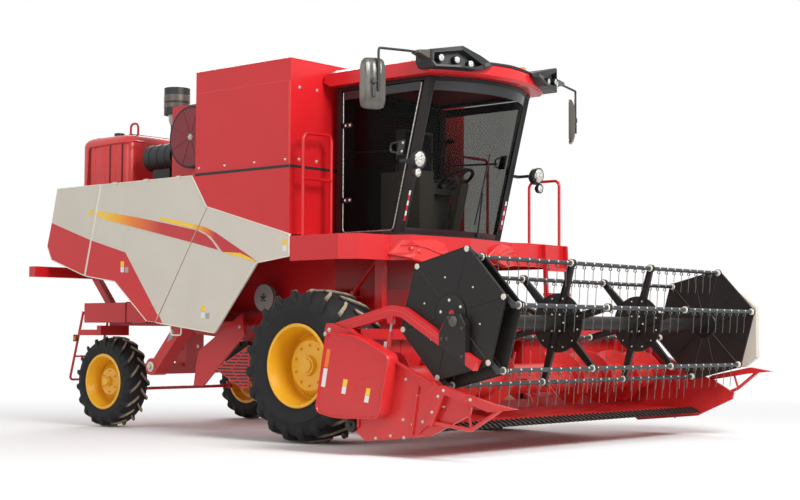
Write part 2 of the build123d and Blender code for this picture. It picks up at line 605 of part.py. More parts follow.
# Header auger: tube with two opposed flights and the retracting fingers in the middle
auger_end = 2195
flight_pitch = 520
auger_parts = [drum(*auger_centre, -auger_end, auger_end, auger_tube_r)]
for side in (-1, 1):
    for index in range(4):
        y = side * (auger_end - 60 - index * flight_pitch)
        lean_deg = side * degrees(atan2(flight_pitch / 2, 2 * auger_r))
        disc = Rot(0, 0, lean_deg) * Rot(90, 0, 0) * Cylinder(auger_r + 60, 12)
        auger_parts.append(Pos(auger_centre[0], y - side * 200, auger_centre[1]) * disc)
for index in range(12):
    angle = radians(index * 75)
    y = -385 + index * 70
    tip = (auger_centre[0] + auger_r * cos(angle), y, auger_centre[1] + auger_r * sin(angle))
    auger_parts.append(rod((auger_centre[0], y, auger_centre[1]), tip, 8))
auger = fuse(*auger_parts) & drum(*auger_centre, -auger_end, auger_end, auger_r)
auger -= drum(*auger_centre, -auger_end - 1, auger_end + 1, auger_bearing_r + running_gap)
save("header_auger", auger)

# Reel arms with bearing blocks; the right one carries the eccentric disc
eccentric_centre = (reel_centre[0] + eccentric_shift[0], reel_centre[1] + eccentric_shift[1])
eccentric_y = (-2193, -2171)
arm_outline = [(960, 1110), (1000, 1190), (1755, 1362), (1912, 1340), (2752, 868), (2708, 784), (1880, 1250),
               (1775, 1266), (1020, 1092)]
arm_in = (arm_y - arm_t / 2, arm_y + arm_t / 2)
arm_eye = (1740, 1218)
for_side = []
for side in (-1, 1):
    arm = fuse(
        slab(arm_outline, side * arm_in[0], side * arm_in[1]),
        slab([(2330, 1010), (2620, 880), (2620, 1180), (2560, 1275), (2420, 1275), (2380, 1200)],
             side * arm_in[0], side * arm_in[1]),
        slab([(1690, 1290), (1790, 1290), (1765, 1196), (1715, 1196)], side * (arm_y + 17), side * (arm_y + 32)),
        drum(*arm_eye, side * (arm_y - 17), side * (arm_y + 32), 12),
    )
    arm -= drum(*reel_centre, side * 2100, side * 2300, reel_shaft_r + running_gap)
    arm -= drum(*arm_pivot, side * 2100, side * 2300, 20 + running_gap)
    if side < 0:
        disc = drum(*eccentric_centre, eccentric_y[0] - 7, eccentric_y[1], eccentric_disc_r)
        arm += disc - drum(*reel_centre, -2300, -2100, reel_shaft_r + running_gap)
    for_side.append(arm)
save("reel_arms", *for_side)
cover_outline = [(2120, 1560), (2760, 1560), (2950, 1400), (2950, 860), (2800, 750), (2280, 750), (2060, 1000),
                 (2060, 1440)]
cover_bracket = [(2400, 1000), (2600, 900), (2600, 1180), (2400, 1250)]
cover_y = (header_y + header_end_t + divider_w + 2 * moving_gap, 2450)
save("reel_drive_cover", fuse(slab(cover_outline, *cover_y), slab(cover_bracket, arm_in[1], cover_y[0] + 1)))


def hexagon(centre, r, turn):
    """Six (x, z) points on a circle."""
    return [(centre[0] + r * cos(radians(turn - 60 * k)), centre[1] + r * sin(radians(turn - 60 * k)))
            for k in range(6)]


bat_places = hexagon(reel_centre, reel_r, bat_angle)
plate_places = hexagon(eccentric_centre, reel_r, bat_angle)
reel_parts = [
    drum(*reel_centre, -2262, 2262, reel_shaft_r),
    drum(*reel_centre, -reel_end_y, reel_end_y, 70),
    slab(hexagon(reel_centre, reel_r + 45, bat_angle), reel_end_y - 14, reel_end_y),
    slab(hexagon(reel_centre, reel_r + 45, bat_angle), -reel_end_y, -reel_end_y + 14),
]
for y in (-spider_y, spider_y):
    reel_parts.append(drum(*reel_centre, y - 8, y + 8, 280))
    for x, z in bat_places:
        way = Vector(x - reel_centre[0], 0, z - reel_centre[1]).normalized()
        start = Vector(reel_centre[0], y, reel_centre[1]) + way * 60
        end = Vector(reel_centre[0], y, reel_centre[1]) + way * (reel_r + 42)
        plane = Plane(origin=(start + end) / 2, x_dir=(0, 1, 0), z_dir=way)
        reel_parts.append(plane * Box(36, 62, (end - start).length))
reel = fuse(*reel_parts)
for x, z in bat_places:
    reel -= drum(x, z, -2200, 2200, bat_tube_r + running_gap)
save("reel", reel)

# Six tined bats, each with a crank to the eccentric ring that keeps the tines hanging
crank_y = (-2165, -2147)
for index, ((x, z), (px, pz)) in enumerate(zip(bat_places, plate_places)):
    bat = [drum(x, z, crank_y[0] + 1, 2110, bat_tube_r)]
    spot = -reel_end_y + 80
    while spot < reel_end_y - 60:
        if abs(abs(spot) - spider_y) > 45:
            bat.append(block((x - 4, x + 4), (spot - 4, spot + 4), (z - tine_len - bat_tube_r, z)))
        spot += tine_pitch
    reach = hypot(px - x, pz - z)
    plane = Plane(origin=((x + px) / 2, sum(crank_y) / 2, (z + pz) / 2), x_dir=(0, 1, 0), z_dir=(px - x, 0, pz - z))
    bat += [plane * Box(crank_y[1] - crank_y[0], 44, reach), drum(px, pz, *crank_y, 24),
            drum(px, pz, eccentric_y[0], crank_y[1], 11)]
    save(f"reel_bat_{index + 1}", fuse(*bat))
ring = slab(hexagon(eccentric_centre, reel_r + 30, bat_angle), *eccentric_y)
ring -= drum(*eccentric_centre, -2300, -2100, eccentric_disc_r + running_gap)
for x, z in plate_places:
    ring -= drum(x, z, -2300, -2100, 11 + running_gap)
save("eccentric_ring", ring)


def cylinder_pair(base, eye, y, barrel_r, rod_r, barrel_len, pin_r, head, eye_bore_r, eye_wall):
    """A hydraulic barrel on its base pin and the rod that slides in it."""
    start, end = Vector(base[0], y, base[1]), Vector(eye[0], y, eye[1])
    way = (end - start).normalized()
    reach = (end - start).length

    def along(distance):
        return tuple(start + way * distance)

    bore_from = pin_r + 25
    barrel = rod(along(-head), along(barrel_len), barrel_r)
    barrel -= rod(along(bore_from), along(barrel_len + 1), rod_r + running_gap)
    barrel -= drum(*base, y - 200, y + 200, pin_r + running_gap)
    stem = fuse(rod(along(bore_from + 90), along(reach - eye_bore_r), rod_r),
                drum(*eye, y - 15, y + 15, eye_bore_r + eye_wall))
    stem -= drum(*eye, y - 200, y + 200, eye_bore_r)
    return barrel, stem


lift_drift, reel_lift_drift = 22, 3
lift = [cylinder_pair(lift_base, lift_eye, side * lift_y, 42, 25, 700, lift_pin_r, 36, lift_pin_r + lift_drift, 14)
        for side in (-1, 1)]
save("lift_barrels", *[pair[0] for pair in lift])
save("lift_rods", *[pair[1] for pair in lift])
reel_lift = [cylinder_pair(reel_lift_base, arm_eye, side * (arm_y - 1), 24, 12, 330, 15, 22, 12 + reel_lift_drift, 10)
             for side in (-1, 1)]
save("reel_lift_barrels", *[pair[0] for pair in reel_lift])
save("reel_lift_rods", *[pair[1] for pair in reel_lift])
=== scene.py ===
"""The looks of a wheeled grain combine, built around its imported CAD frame."""

import json
import math

import bmesh
import bpy
from mathutils import Matrix, Vector


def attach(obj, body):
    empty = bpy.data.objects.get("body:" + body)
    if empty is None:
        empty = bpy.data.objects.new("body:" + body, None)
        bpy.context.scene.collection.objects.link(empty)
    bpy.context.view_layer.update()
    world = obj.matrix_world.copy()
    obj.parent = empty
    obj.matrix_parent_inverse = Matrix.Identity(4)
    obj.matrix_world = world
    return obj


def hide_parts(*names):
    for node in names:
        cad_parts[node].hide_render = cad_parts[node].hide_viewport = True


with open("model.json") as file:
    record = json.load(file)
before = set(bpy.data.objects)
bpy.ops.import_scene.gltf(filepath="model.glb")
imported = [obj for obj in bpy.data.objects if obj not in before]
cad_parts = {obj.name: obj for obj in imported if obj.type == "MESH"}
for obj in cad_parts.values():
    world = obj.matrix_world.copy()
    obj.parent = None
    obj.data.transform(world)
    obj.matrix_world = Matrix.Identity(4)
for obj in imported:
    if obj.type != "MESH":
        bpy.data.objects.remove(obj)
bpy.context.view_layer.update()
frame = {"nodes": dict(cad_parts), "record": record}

# The camera stands low at the machine's right front corner, as the photograph was taken.
# Its place and tilt were worked out from the wheels, the reel and the tank's corners.
# FORWARD is the frame's middle, measured forward from the drive axle.
FORWARD = (3.250 - 4.790) / 2
camera_data = bpy.data.cameras.new("front_corner_camera")
camera_data.sensor_width = 36.0
camera_data.lens = 67.30
camera_data.shift_x = -0.0690
camera_data.shift_y = -0.0007
camera_data.clip_end = 200.0
camera = bpy.data.objects.new("front_corner_camera", camera_data)
camera_right = Vector((0.77289, 0.63454, 0.00270))
camera_up = Vector((0.03442, -0.04618, 0.99834))
camera_back = camera_right.cross(camera_up)
camera.matrix_world = Matrix.Translation((10.799 - FORWARD, -12.364, 1.088)) @ Matrix(
    (camera_right, camera_up, camera_back)).transposed().to_4x4()
bpy.context.collection.objects.link(camera)
bpy.context.scene.camera = camera

# The floor is a wide pale sheet that shows white to the camera but keeps the machine's shadow.
# The room's light is even and neutral, with one large soft lamp at the right front and one behind.


def new_material(name):
    """An empty node material with its output and shader."""
    material = bpy.data.materials.new(name)
    material.use_nodes = True
    nodes, links = material.node_tree.nodes, material.node_tree.links
    shader = nodes["Principled BSDF"]
    return material, nodes, links, shader


world = bpy.data.worlds.new("studio")
bpy.context.scene.world = world
world.use_nodes = True
sky, sky_links = world.node_tree.nodes, world.node_tree.links
seen = sky.new("ShaderNodeLightPath")
is_seen = sky.new("ShaderNodeMath")
is_seen.operation = "MAXIMUM"
is_mirrored = sky.new("ShaderNodeMath")
is_mirrored.operation = "MAXIMUM"
sky_links.new(seen.outputs["Is Camera Ray"], is_mirrored.inputs[0])
sky_links.new(seen.outputs["Is Glossy Ray"], is_mirrored.inputs[1])
sky_links.new(is_mirrored.outputs[0], is_seen.inputs[0])
sky_links.new(seen.outputs["Is Transmission Ray"], is_seen.inputs[1])
strength = sky.new("ShaderNodeMapRange")
strength.inputs["To Min"].default_value = 0.48
strength.inputs["To Max"].default_value = 1.0
sky_links.new(is_seen.outputs[0], strength.inputs["Value"])
sky["Background"].inputs["Color"].default_value = (1.0, 1.0, 1.0, 1.0)
sky_links.new(strength.outputs["Result"], sky["Background"].inputs["Strength"])

floor_mesh = bpy.data.meshes.new("floor")
floor_mesh.from_pydata([(-40, -40, 0), (40, -40, 0), (40, 40, 0), (-40, 40, 0)], [], [(0, 1, 2, 3)])
floor = bpy.data.objects.new("floor", floor_mesh)
bpy.context.collection.objects.link(floor)
floor_white, nodes, links, shader = new_material("floor_white")
shader.inputs["Base Color"].default_value = (0.86, 0.86, 0.86, 1)
shader.inputs["Roughness"].default_value = 0.9
spread = nodes.new("ShaderNodeTexCoord")
span = nodes.new("ShaderNodeVectorMath")
span.operation = "LENGTH"
links.new(spread.outputs["Object"], span.inputs[0])
rim = nodes.new("ShaderNodeMapRange")
rim.inputs["From Min"].default_value = 4.5
rim.inputs["From Max"].default_value = 11.0
links.new(span.outputs["Value"], rim.inputs["Value"])
ray = nodes.new("ShaderNodeLightPath")
lift = nodes.new("ShaderNodeMath")
lift.operation = "MULTIPLY"
links.new(rim.outputs["Result"], lift.inputs[0])
links.new(ray.outputs["Is Camera Ray"], lift.inputs[1])
clear_white = nodes.new("ShaderNodeEmission")
clear_white.inputs["Color"].default_value = (1.0, 1.0, 1.0, 1)
blend = nodes.new("ShaderNodeMixShader")
links.new(lift.outputs[0], blend.inputs[0])
links.new(shader.outputs["BSDF"], blend.inputs[1])
links.new(clear_white.outputs["Emission"], blend.inputs[2])
links.new(blend.outputs["Shader"], nodes["Material Output"].inputs["Surface"])
floor_mesh.materials.append(floor_white)


def soft_lamp(name, place, target, size, power):
    """A square area lamp that faces a point."""
    data = bpy.data.lights.new(name, "AREA")
    data.size, data.energy = size, power
    lamp = bpy.data.objects.new(name, data)
    lamp.location = place
    lamp.rotation_euler = (Vector(target) - Vector(place)).to_track_quat("-Z", "Y").to_euler()
    bpy.context.collection.objects.link(lamp)


soft_lamp("key_lamp", (11.0, -3.0, 9.0), (0, 0, 1.5), 5.0, 1800)
soft_lamp("side_lamp", (0.0, -14.0, 7.0), (0, 0, 1.5), 7.0, 330)
soft_lamp("back_lamp", (-10.0, 8.0, 9.0), (0, 0, 2.0), 7.0, 900)

# Paint: gloss enamel over sheet steel, a little uneven in tone and gloss, dusty low down.


def paint(name, colour, roughness=0.32, dust=0.12, coat=0.25, bump=0.02, scale=3.0, shine=0.5,
          around=None, settled=0.0):
    """Enamel whose tone drifts over the sheet, dusty near the ground, at a tread's rim or on top."""
    material, nodes, links, shader = new_material(name)
    place = nodes.new("ShaderNodeTexCoord")
    drift = nodes.new("ShaderNodeTexNoise")
    drift.inputs["Scale"].default_value = scale
    drift.inputs["Detail"].default_value = 6.0
    links.new(place.outputs["Object"], drift.inputs["Vector"])
    tone = nodes.new("ShaderNodeMixRGB")
    tone.inputs["Color1"].default_value = (*[c * 0.93 for c in colour], 1)
    tone.inputs["Color2"].default_value = (*[min(1, c * 1.07) for c in colour], 1)
    links.new(drift.outputs["Fac"], tone.inputs["Fac"])
    height = nodes.new("ShaderNodeSeparateXYZ")
    links.new(place.outputs["Object"], height.inputs["Vector"])
    low = nodes.new("ShaderNodeMapRange")
    low.inputs["From Min"].default_value = 1.3
    low.inputs["From Max"].default_value = 0.1
    low.inputs["To Max"].default_value = dust
    links.new(height.outputs["Z"], low.inputs["Value"])
    if around:
        spoke = nodes.new("ShaderNodeVectorMath")
        spoke.operation = "SUBTRACT"
        spoke.inputs[1].default_value = around[0]
        links.new(place.outputs["Object"], spoke.inputs[0])
        flat = nodes.new("ShaderNodeVectorMath")
        flat.operation = "MULTIPLY"
        flat.inputs[1].default_value = (1.0, 0.0, 1.0)
        links.new(spoke.outputs[0], flat.inputs[0])
        span = nodes.new("ShaderNodeVectorMath")
        span.operation = "LENGTH"
        links.new(flat.outputs[0], span.inputs[0])
        low.inputs["From Min"].default_value = around[1] - 0.022
        low.inputs["From Max"].default_value = around[1] - 0.004
        links.new(span.outputs["Value"], low.inputs["Value"])
    if settled:
        face = nodes.new("ShaderNodeNewGeometry")
        split_face = nodes.new("ShaderNodeSeparateXYZ")
        links.new(face.outputs["Normal"], split_face.inputs["Vector"])
        low.inputs["From Min"].default_value = 0.5
        low.inputs["From Max"].default_value = 0.8
        low.inputs["To Max"].default_value = settled
        links.new(split_face.outputs["Z"], low.inputs["Value"])
    speckle = nodes.new("ShaderNodeTexNoise")
    speckle.inputs["Scale"].default_value = 26.0
    speckle.inputs["Detail"].default_value = 8.0
    links.new(place.outputs["Object"], speckle.inputs["Vector"])
    patch = nodes.new("ShaderNodeMath")
    patch.operation = "MULTIPLY"
    links.new(low.outputs["Result"], patch.inputs[0])
    links.new(speckle.outputs["Fac"], patch.inputs[1])
    dusty = nodes.new("ShaderNodeMixRGB")
    dusty.inputs["Color2"].default_value = (0.42, 0.34, 0.24, 1)
    links.new(patch.outputs[0], dusty.inputs["Fac"])
    links.new(tone.outputs["Color"], dusty.inputs["Color1"])
    links.new(dusty.outputs["Color"], shader.inputs["Base Color"])
    gloss = nodes.new("ShaderNodeMapRange")
    gloss.inputs["To Min"].default_value = roughness - 0.06
    gloss.inputs["To Max"].default_value = roughness + 0.1
    links.new(speckle.outputs["Fac"], gloss.inputs["Value"])
    links.new(gloss.outputs["Result"], shader.inputs["Roughness"])
    skin = nodes.new("ShaderNodeBump")
    skin.inputs["Strength"].default_value = bump
    links.new(drift.outputs["Fac"], skin.inputs["Height"])
    links.new(skin.outputs["Normal"], shader.inputs["Normal"])
    shader.inputs["Coat Weight"].default_value = coat
    shader.inputs["Coat Roughness"].default_value = 0.12
    shader.inputs["Specular IOR Level"].default_value = shine
    return material


red_paint = paint("red_paint", (0.56, 0.009, 0.013), coat=0.12)
cream_paint = paint("cream_paint", (0.60, 0.55, 0.47))
yellow_paint = paint("yellow_paint", (0.83, 0.42, 0.01))
black_paint = paint("black_paint", (0.008, 0.0065, 0.006), roughness=0.42, dust=0.08, coat=0.04, shine=0.3)
dark_plastic = paint("dark_plastic", (0.016, 0.017, 0.018), roughness=0.45, coat=0.0, bump=0.1,
                     scale=120.0, shine=0.4)
tyre_rubber = paint("tyre_rubber", (0.02, 0.02, 0.021), roughness=0.75, dust=0.7, coat=0.0, bump=0.2,
                    scale=40.0)
plain_steel = paint("plain_steel", (0.35, 0.34, 0.33), roughness=0.4, dust=0.3)
seat_cloth = paint("seat_cloth", (0.03, 0.03, 0.035), roughness=0.85, coat=0.0, bump=0.3, scale=300.0)
tinted_glass = paint("tinted_glass", (0.012, 0.013, 0.013), roughness=0.10, dust=0.0, coat=0.0, bump=0.002)
nodes, links = tinted_glass.node_tree.nodes, tinted_glass.node_tree.links
tint = nodes.new("ShaderNodeBsdfTransparent")
tint.inputs["Color"].default_value = (0.62, 0.62, 0.61, 1)
pane_mix = nodes.new("ShaderNodeMixShader")
pane_mix.inputs[0].default_value = 0.07
links.new(tint.outputs["BSDF"], pane_mix.inputs[1])
links.new(nodes["Principled BSDF"].outputs["BSDF"], pane_mix.inputs[2])
links.new(pane_mix.outputs["Shader"], nodes["Material Output"].inputs["Surface"])
finishes = {"red_paint": red_paint, "cream_paint": cream_paint, "yellow_paint": yellow_paint,
            "black_paint": black_paint, "chrome_rod": plain_steel, "tinted_glass": tinted_glass,
            "black_plastic": dark_plastic, "seat_fabric": seat_cloth, "engine_iron": plain_steel,
            "tyre": tyre_rubber}
slot_of = {part["node"]: part["material_slot"] for part in frame["record"]["subparts"]}
for name, node in frame["nodes"].items():
    node.data.materials.clear()
    node.data.materials.append(finishes[slot_of[name]])

# Drive and steering tyres: black cross-ply farm tyres with tall slanted lugs, moulded in one
# piece of rubber. Dust sticks to the lugs' faces; the sides carry rings but no words.


def piece(name, build, material, body, smooth=True, bevel=0.0):
    """A named mesh piece from a bmesh, with its finish, riding on a body."""
    mesh = bpy.data.meshes.new(name)
    bmesh.ops.recalc_face_normals(build, faces=build.faces)
    build.to_mesh(mesh)
    build.free()
    mesh.materials.append(material)
    thing = bpy.data.objects.new(name, mesh)
    bpy.context.collection.objects.link(thing)
    if smooth:
        mesh.shade_smooth()
        mesh.set_sharp_from_angle(angle=math.radians(34))
    if bevel:
        soften(thing, bevel)
    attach(thing, body)
    return thing


def soften(thing, width, segments=2):
    """A small rounded edge on every sharp corner."""
    edge = thing.modifiers.new("soft_edge", "BEVEL")
    edge.width, edge.segments = width, segments
    edge.limit_method, edge.angle_limit = "ANGLE", math.radians(40)
    edge.harden_normals = False


def at(x, y, z):
    """A point measured forward from the drive axle, left from the middle and up from the ground."""
    return Vector((x - FORWARD, y, z))


def join_rings(build, rings, around=True, ends=False):
    """Faces from each ring of corners to the next; around closes each ring and ends caps the run."""
    count = len(rings[0])
    for first, second in zip(rings, rings[1:]):
        for k in range(count if around else count - 1):
            after = (k + 1) % count
            build.faces.new((first[k], first[after], second[after], second[k]))
    if ends:
        build.faces.new(rings[0])
        build.faces.new(rings[-1][::-1])


def lathe(build, profile, centre, segments=96, closed=True):
    """A ring about a cross axis: profile holds (radius, y from the centre)."""
    rings = []
    for step in range(segments):
        turn = 2 * math.pi * step / segments
        ring = [build.verts.new(centre + Vector((r * math.cos(turn), y, r * math.sin(turn))))
                for r, y in profile]
        rings.append(ring)
    join_rings(build, rings + rings[:1], around=closed)


WHEELS = {
    "drive": {"x": 0.0, "y": 1.450, "r": 0.780, "width": 0.600, "rim": 0.405, "lugs": 20, "lug": 0.045,
              "dish": 0.060, "hub": 0.150, "bolts": 10, "bolt_ring": 0.205},
    "steer": {"x": -3.690, "y": 1.140, "r": 0.535, "width": 0.320, "rim": 0.306, "lugs": 18, "lug": 0.030,
              "dish": 0.020, "hub": 0.085, "bolts": 6, "bolt_ring": 0.125},
}


def tyre(build, centre, size):
    """A tyre carcass with its lugs."""
    half, r, rim, lug = size["width"] / 2, size["r"], size["rim"], size["lug"]
    tread = r - lug
    flank = rim + 0.48 * (tread - rim)
    profile = [(rim, half * 0.80), (rim + 0.012, half * 0.86), (flank, half * 0.985),
               (flank + 0.012, half * 0.985), (flank + 0.014, half * 0.965), (tread - 0.075, half * 0.93),
               (tread - 0.03, half * 0.84), (tread, half * 0.55), (tread + 0.006, 0.0)]
    mirrored = [(a, -b) for a, b in reversed(profile[:-1])]
    lathe(build, profile + mirrored, centre)
    stations = [(0.06, -0.02, r, 0.020), (0.35, 0.075, r, 0.021), (0.66, 0.155, r - 0.004, 0.023),
                (0.86, 0.205, r - 0.016, 0.027), (0.97, 0.225, r - 0.075, 0.030),
                (0.985, 0.232, r - 0.115, 0.026)]
    scale = r / 0.780
    for index in range(2 * size["lugs"]):
        way = 1 if index % 2 else -1
        start = index * math.pi / size["lugs"]
        loops = []
        for share, sweep, tip, thick in stations:
            y = way * half * min(share, 0.985)
            base = min(tip - 0.012, tread - 0.02) if share < 0.9 else tip - 0.05
            turn = start - sweep * 1.05
            loop = []
            for radius, spread in ((base, 1.5), (tip, 1.0), (tip, -1.0), (base, -1.5)):
                angle = turn + spread * thick * scale / radius
                y_here = y if radius == tip else y * (0.97 if share > 0.9 else 1.0)
                spot = Vector((radius * math.cos(angle), y_here, radius * math.sin(angle)))
                loop.append(build.verts.new(centre + spot))
            loops.append(loop)
        join_rings(build, loops, around=False, ends=True)


def bolt_head(build, centre, side, r=0.014, height=0.016):
    """A hexagon nut on its washer, its end facing outward."""
    for radius, low, high, corners in ((r * 1.6, 0.0, 0.004, 16), (r, 0.004, height, 6),
                                       (r * 0.55, height, height * 1.6, 10)):
        ring = []
        turns = [2 * math.pi * k / corners for k in range(corners)]
        for y in (low, high):
            spots = [Vector((radius * math.cos(turn), side * y, radius * math.sin(turn))) for turn in turns]
            ring.append([build.verts.new(centre + spot) for spot in spots])
        join_rings(build, ring)
        build.faces.new(ring[1])


for kind, size in WHEELS.items():
    for side, hand in ((1, "left"), (-1, "right")):
        centre = at(size["x"], side * size["y"], size["r"])
        body = f"{kind}_wheel_{hand}"
        build = bmesh.new()
        tyre(build, centre, size)
        worn_rubber = paint(f"{kind}_rubber_{hand}", (0.013, 0.013, 0.014), roughness=0.72, dust=1.5,
                            coat=0.0, bump=0.2, scale=40.0, shine=0.3, around=(tuple(centre), size["r"]))
        rubber = piece(f"{kind}_tyre_rubber_{hand}", build, worn_rubber, body)
        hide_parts(f"{kind}_tyre_{hand}")
        half, rim, dish = size["width"] / 2 * 0.92, size["rim"], size["dish"]
        flange = [(rim - 0.010, half), (rim + 0.012, half + 0.006), (rim + 0.022, half - 0.002),
                  (rim + 0.020, half - 0.012), (rim + 0.004, half - 0.020), (rim - 0.0003, half - 0.045)]
        well = [(rim - 0.0003, -half + 0.045), (rim + 0.004, -half + 0.020), (rim + 0.020, -half + 0.012),
                (rim + 0.022, -half + 0.002), (rim - 0.010, -half), (rim - 0.018, -half + 0.05),
                (rim - 0.048, -half + 0.10), (rim - 0.050, half - 0.11), (rim - 0.030, half - 0.06),
                (rim - 0.020, half - 0.03)]
        hub = size["hub"]
        bell = [(0.045, dish + 0.075), (hub * 0.62, dish + 0.070), (hub * 0.70, dish + 0.030),
                (size["bolt_ring"] * 1.25, dish + 0.026), (size["bolt_ring"] * 1.42, dish - 0.002),
                (rim - 0.075, dish - 0.055), (rim - 0.045, dish - 0.060), (rim - 0.045, dish - 0.075),
                (rim - 0.080, dish - 0.070), (size["bolt_ring"] * 1.40, dish - 0.018),
                (size["bolt_ring"] * 1.20, dish + 0.010), (0.045, dish + 0.010)]
        build = bmesh.new()
        lathe(build, [(r, side * y) for r, y in flange + well], centre)
        lathe(build, [(r, side * y) for r, y in bell], centre)
        for k in range(size["bolts"]):
            turn = 2 * math.pi * (k + 0.5) / size["bolts"]
            spot = Vector((size["bolt_ring"] * math.cos(turn), side * (dish + 0.026),
                           size["bolt_ring"] * math.sin(turn)))
            bolt_head(build, centre + spot, side, r=0.013 if kind == "drive" else 0.010)
        wheel = piece(f"{kind}_rim_steel_{hand}", build, yellow_paint, body)
        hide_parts(f"{kind}_rim_{hand}")
        build = bmesh.new()
        cap = [(0.0001, dish + 0.092), (hub * 0.45, dish + 0.088), (hub * 0.50, dish + 0.070),
               (0.0001, dish + 0.070)]
        lathe(build, [(r, side * y) for r, y in cap], centre, 32)
        piece(f"{kind}_hub_cap_{hand}", build, yellow_paint, body)

# Side panels: pressed sheet doors hung from the engine deck, cream above and red behind and
# below, with rolled edges in a lighter cream as a painted highlight, sprayed stripes and blank stick-on
# plates.


def plate(build, outline, y0, y1):
    """A sheet of an (x, z) outline between two distances from the machine's middle."""
    near = [build.verts.new(at(x, y0, z)) for x, z in outline]
    far = [build.verts.new(at(x, y1, z)) for x, z in outline]
    join_rings(build, [near, far], ends=True)


def corner_arc(before, here, after, bend, steps):
    """The points of a small arc in place of the corner at here."""
    back, ahead = before - here, after - here
    reach = min(bend, 0.45 * back.length, 0.45 * ahead.length)
    start, end = here + back.normalized() * reach, here + ahead.normalized() * reach
    shares = [step / steps for step in range(steps + 1)]
    return [start.lerp(here, share).lerp(here.lerp(end, share), share) for share in shares]


def rounded_path(points, bend, steps=5):
    """A run of points whose inner corners are turned into small arcs."""
    points = [Vector(point) for point in points]
    path = [points[0]]
    for before, here, after in zip(points, points[1:], points[2:]):
        path += corner_arc(before, here, after, bend, steps)
    path.append(points[-1])
    return path


def wire(build, path, r, sides=10):
    """A round wire or tube swept along a run of points."""
    ahead = (path[1] - path[0]).normalized()
    across = ahead.orthogonal().normalized()
    turns = [2 * math.pi * s / sides for s in range(sides)]
    rings = []
    for k, here in enumerate(path):
        coming = (here - path[k - 1]).normalized() if k else ahead
        going = (path[k + 1] - here).normalized() if k + 1 < len(path) else coming
        ahead = (coming + going).normalized()
        across = (across - ahead * across.dot(ahead)).normalized()
        beside = ahead.cross(across)
        rings.append([build.verts.new(here + (across * math.cos(turn) + beside * math.sin(turn)) * r)
                      for turn in turns])
    join_rings(build, rings, ends=True)


def bent_bar(build, points, r, bend=0.05, sides=10):
    """A round bar through points given as (forward, left, up), its corners bent to arcs."""
    wire(build, rounded_path([at(*point) for point in points], bend), r, sides)


def fading_paint(name, stops):
    """Gloss colour that changes along the machine; stops hold (x, colour)."""
    material = paint(name, stops[0][1])
    nodes, links = material.node_tree.nodes, material.node_tree.links
    place = nodes.new("ShaderNodeTexCoord")
    split = nodes.new("ShaderNodeSeparateXYZ")
    links.new(place.outputs["Object"], split.inputs["Vector"])
    along = nodes.new("ShaderNodeMapRange")
    along.inputs["From Min"].default_value = at(stops[0][0], 0, 0).x
    along.inputs["From Max"].default_value = at(stops[-1][0], 0, 0).x
    links.new(split.outputs["X"], along.inputs["Value"])
    ramp = nodes.new("ShaderNodeValToRGB")
    span = stops[-1][0] - stops[0][0]
    while len(ramp.color_ramp.elements) < len(stops):
        ramp.color_ramp.elements.new(0.5)
    for element, (x, colour) in zip(ramp.color_ramp.elements, stops):
        element.position, element.color = (x - stops[0][0]) / span, (*colour, 1)
    links.new(along.outputs["Result"], ramp.inputs["Fac"])
    links.new(ramp.outputs["Color"], nodes["Principled BSDF"].inputs["Base Color"])
    return material


STRIPE_YELLOW, STRIPE_ORANGE, STRIPE_RED = (0.86, 0.55, 0.02), (0.80, 0.20, 0.01), (0.50, 0.012, 0.020)
rear_stripe = fading_paint("rear_stripe",
                           [(-3.82, STRIPE_YELLOW), (-3.50, STRIPE_YELLOW), (-3.00, STRIPE_ORANGE),
                            (-2.45, STRIPE_RED), (-1.50, STRIPE_RED)])
front_stripe = fading_paint("front_stripe",
                            [(-2.50, STRIPE_YELLOW), (-1.95, STRIPE_YELLOW), (-1.72, STRIPE_ORANGE),
                             (-1.55, STRIPE_RED), (-0.88, STRIPE_RED)])
stripe_tip = paint("stripe_tip", STRIPE_YELLOW)
blank_white = paint("blank_white", (0.72, 0.72, 0.70), coat=0.0, dust=0.05)
blank_orange = paint("blank_orange", (0.80, 0.16, 0.01), coat=0.0, dust=0.05)
blank_grey = paint("blank_grey", (0.33, 0.34, 0.36), coat=0.0, dust=0.05)
# A lighter cream than the panels: a painted highlight on the rolled edges and the grip bar.
highlight_cream = paint("highlight_cream", (0.72, 0.68, 0.58), roughness=0.28)

HOOD_RED = [(-4.519, 2.443), (-3.747, 2.203), (-3.860, 1.789), (-4.509, 1.994), (-4.601, 2.160)]
DOOR_RED = [(-3.731, 2.199), (-3.096, 2.038), (-2.500, 1.306), (-2.548, 1.233), (-2.700, 1.247),
            (-3.278, 1.702), (-3.840, 1.782)]
FRONT_RED = [(-2.476, 1.306), (-2.414, 1.211), (-2.526, 1.225)]
REAR_BLOCKS = [[(-3.821, 2.511), (-3.752, 2.568), (-3.688, 2.565), (-3.739, 2.503)]]
DOOR_BLOCKS = [[(-3.640, 2.492), (-3.615, 2.543), (-3.448, 2.521), (-3.547, 2.452)],
               [(-3.418, 2.516), (-2.971, 2.447), (-2.400, 2.345), (-2.025, 2.274), (-1.869, 2.243),
                (-1.957, 2.114), (-3.012, 2.338), (-3.526, 2.445)]]
FRONT_BLOCKS = [[(-1.850, 2.239), (-1.701, 2.183), (-1.600, 2.112), (-1.500, 2.010), (-1.937, 2.111)]]
DOOR_SECOND = [[(-2.496, 2.421), (-1.832, 2.296), (-1.862, 2.254), (-2.459, 2.376)]]
FRONT_SECOND = [[(-1.811, 2.292), (-1.702, 2.266), (-1.543, 2.203), (-1.250, 2.056), (-1.009, 1.935),
                 (-0.886, 1.864), (-1.431, 1.987), (-1.531, 2.083), (-1.621, 2.160), (-1.741, 2.218),
                 (-1.841, 2.249)]]
TIP = [[(-1.431, 1.987), (-1.150, 1.968), (-0.960, 1.899), (-0.889, 1.860)]]
SKIN, FILM = 0.0012, 0.0020
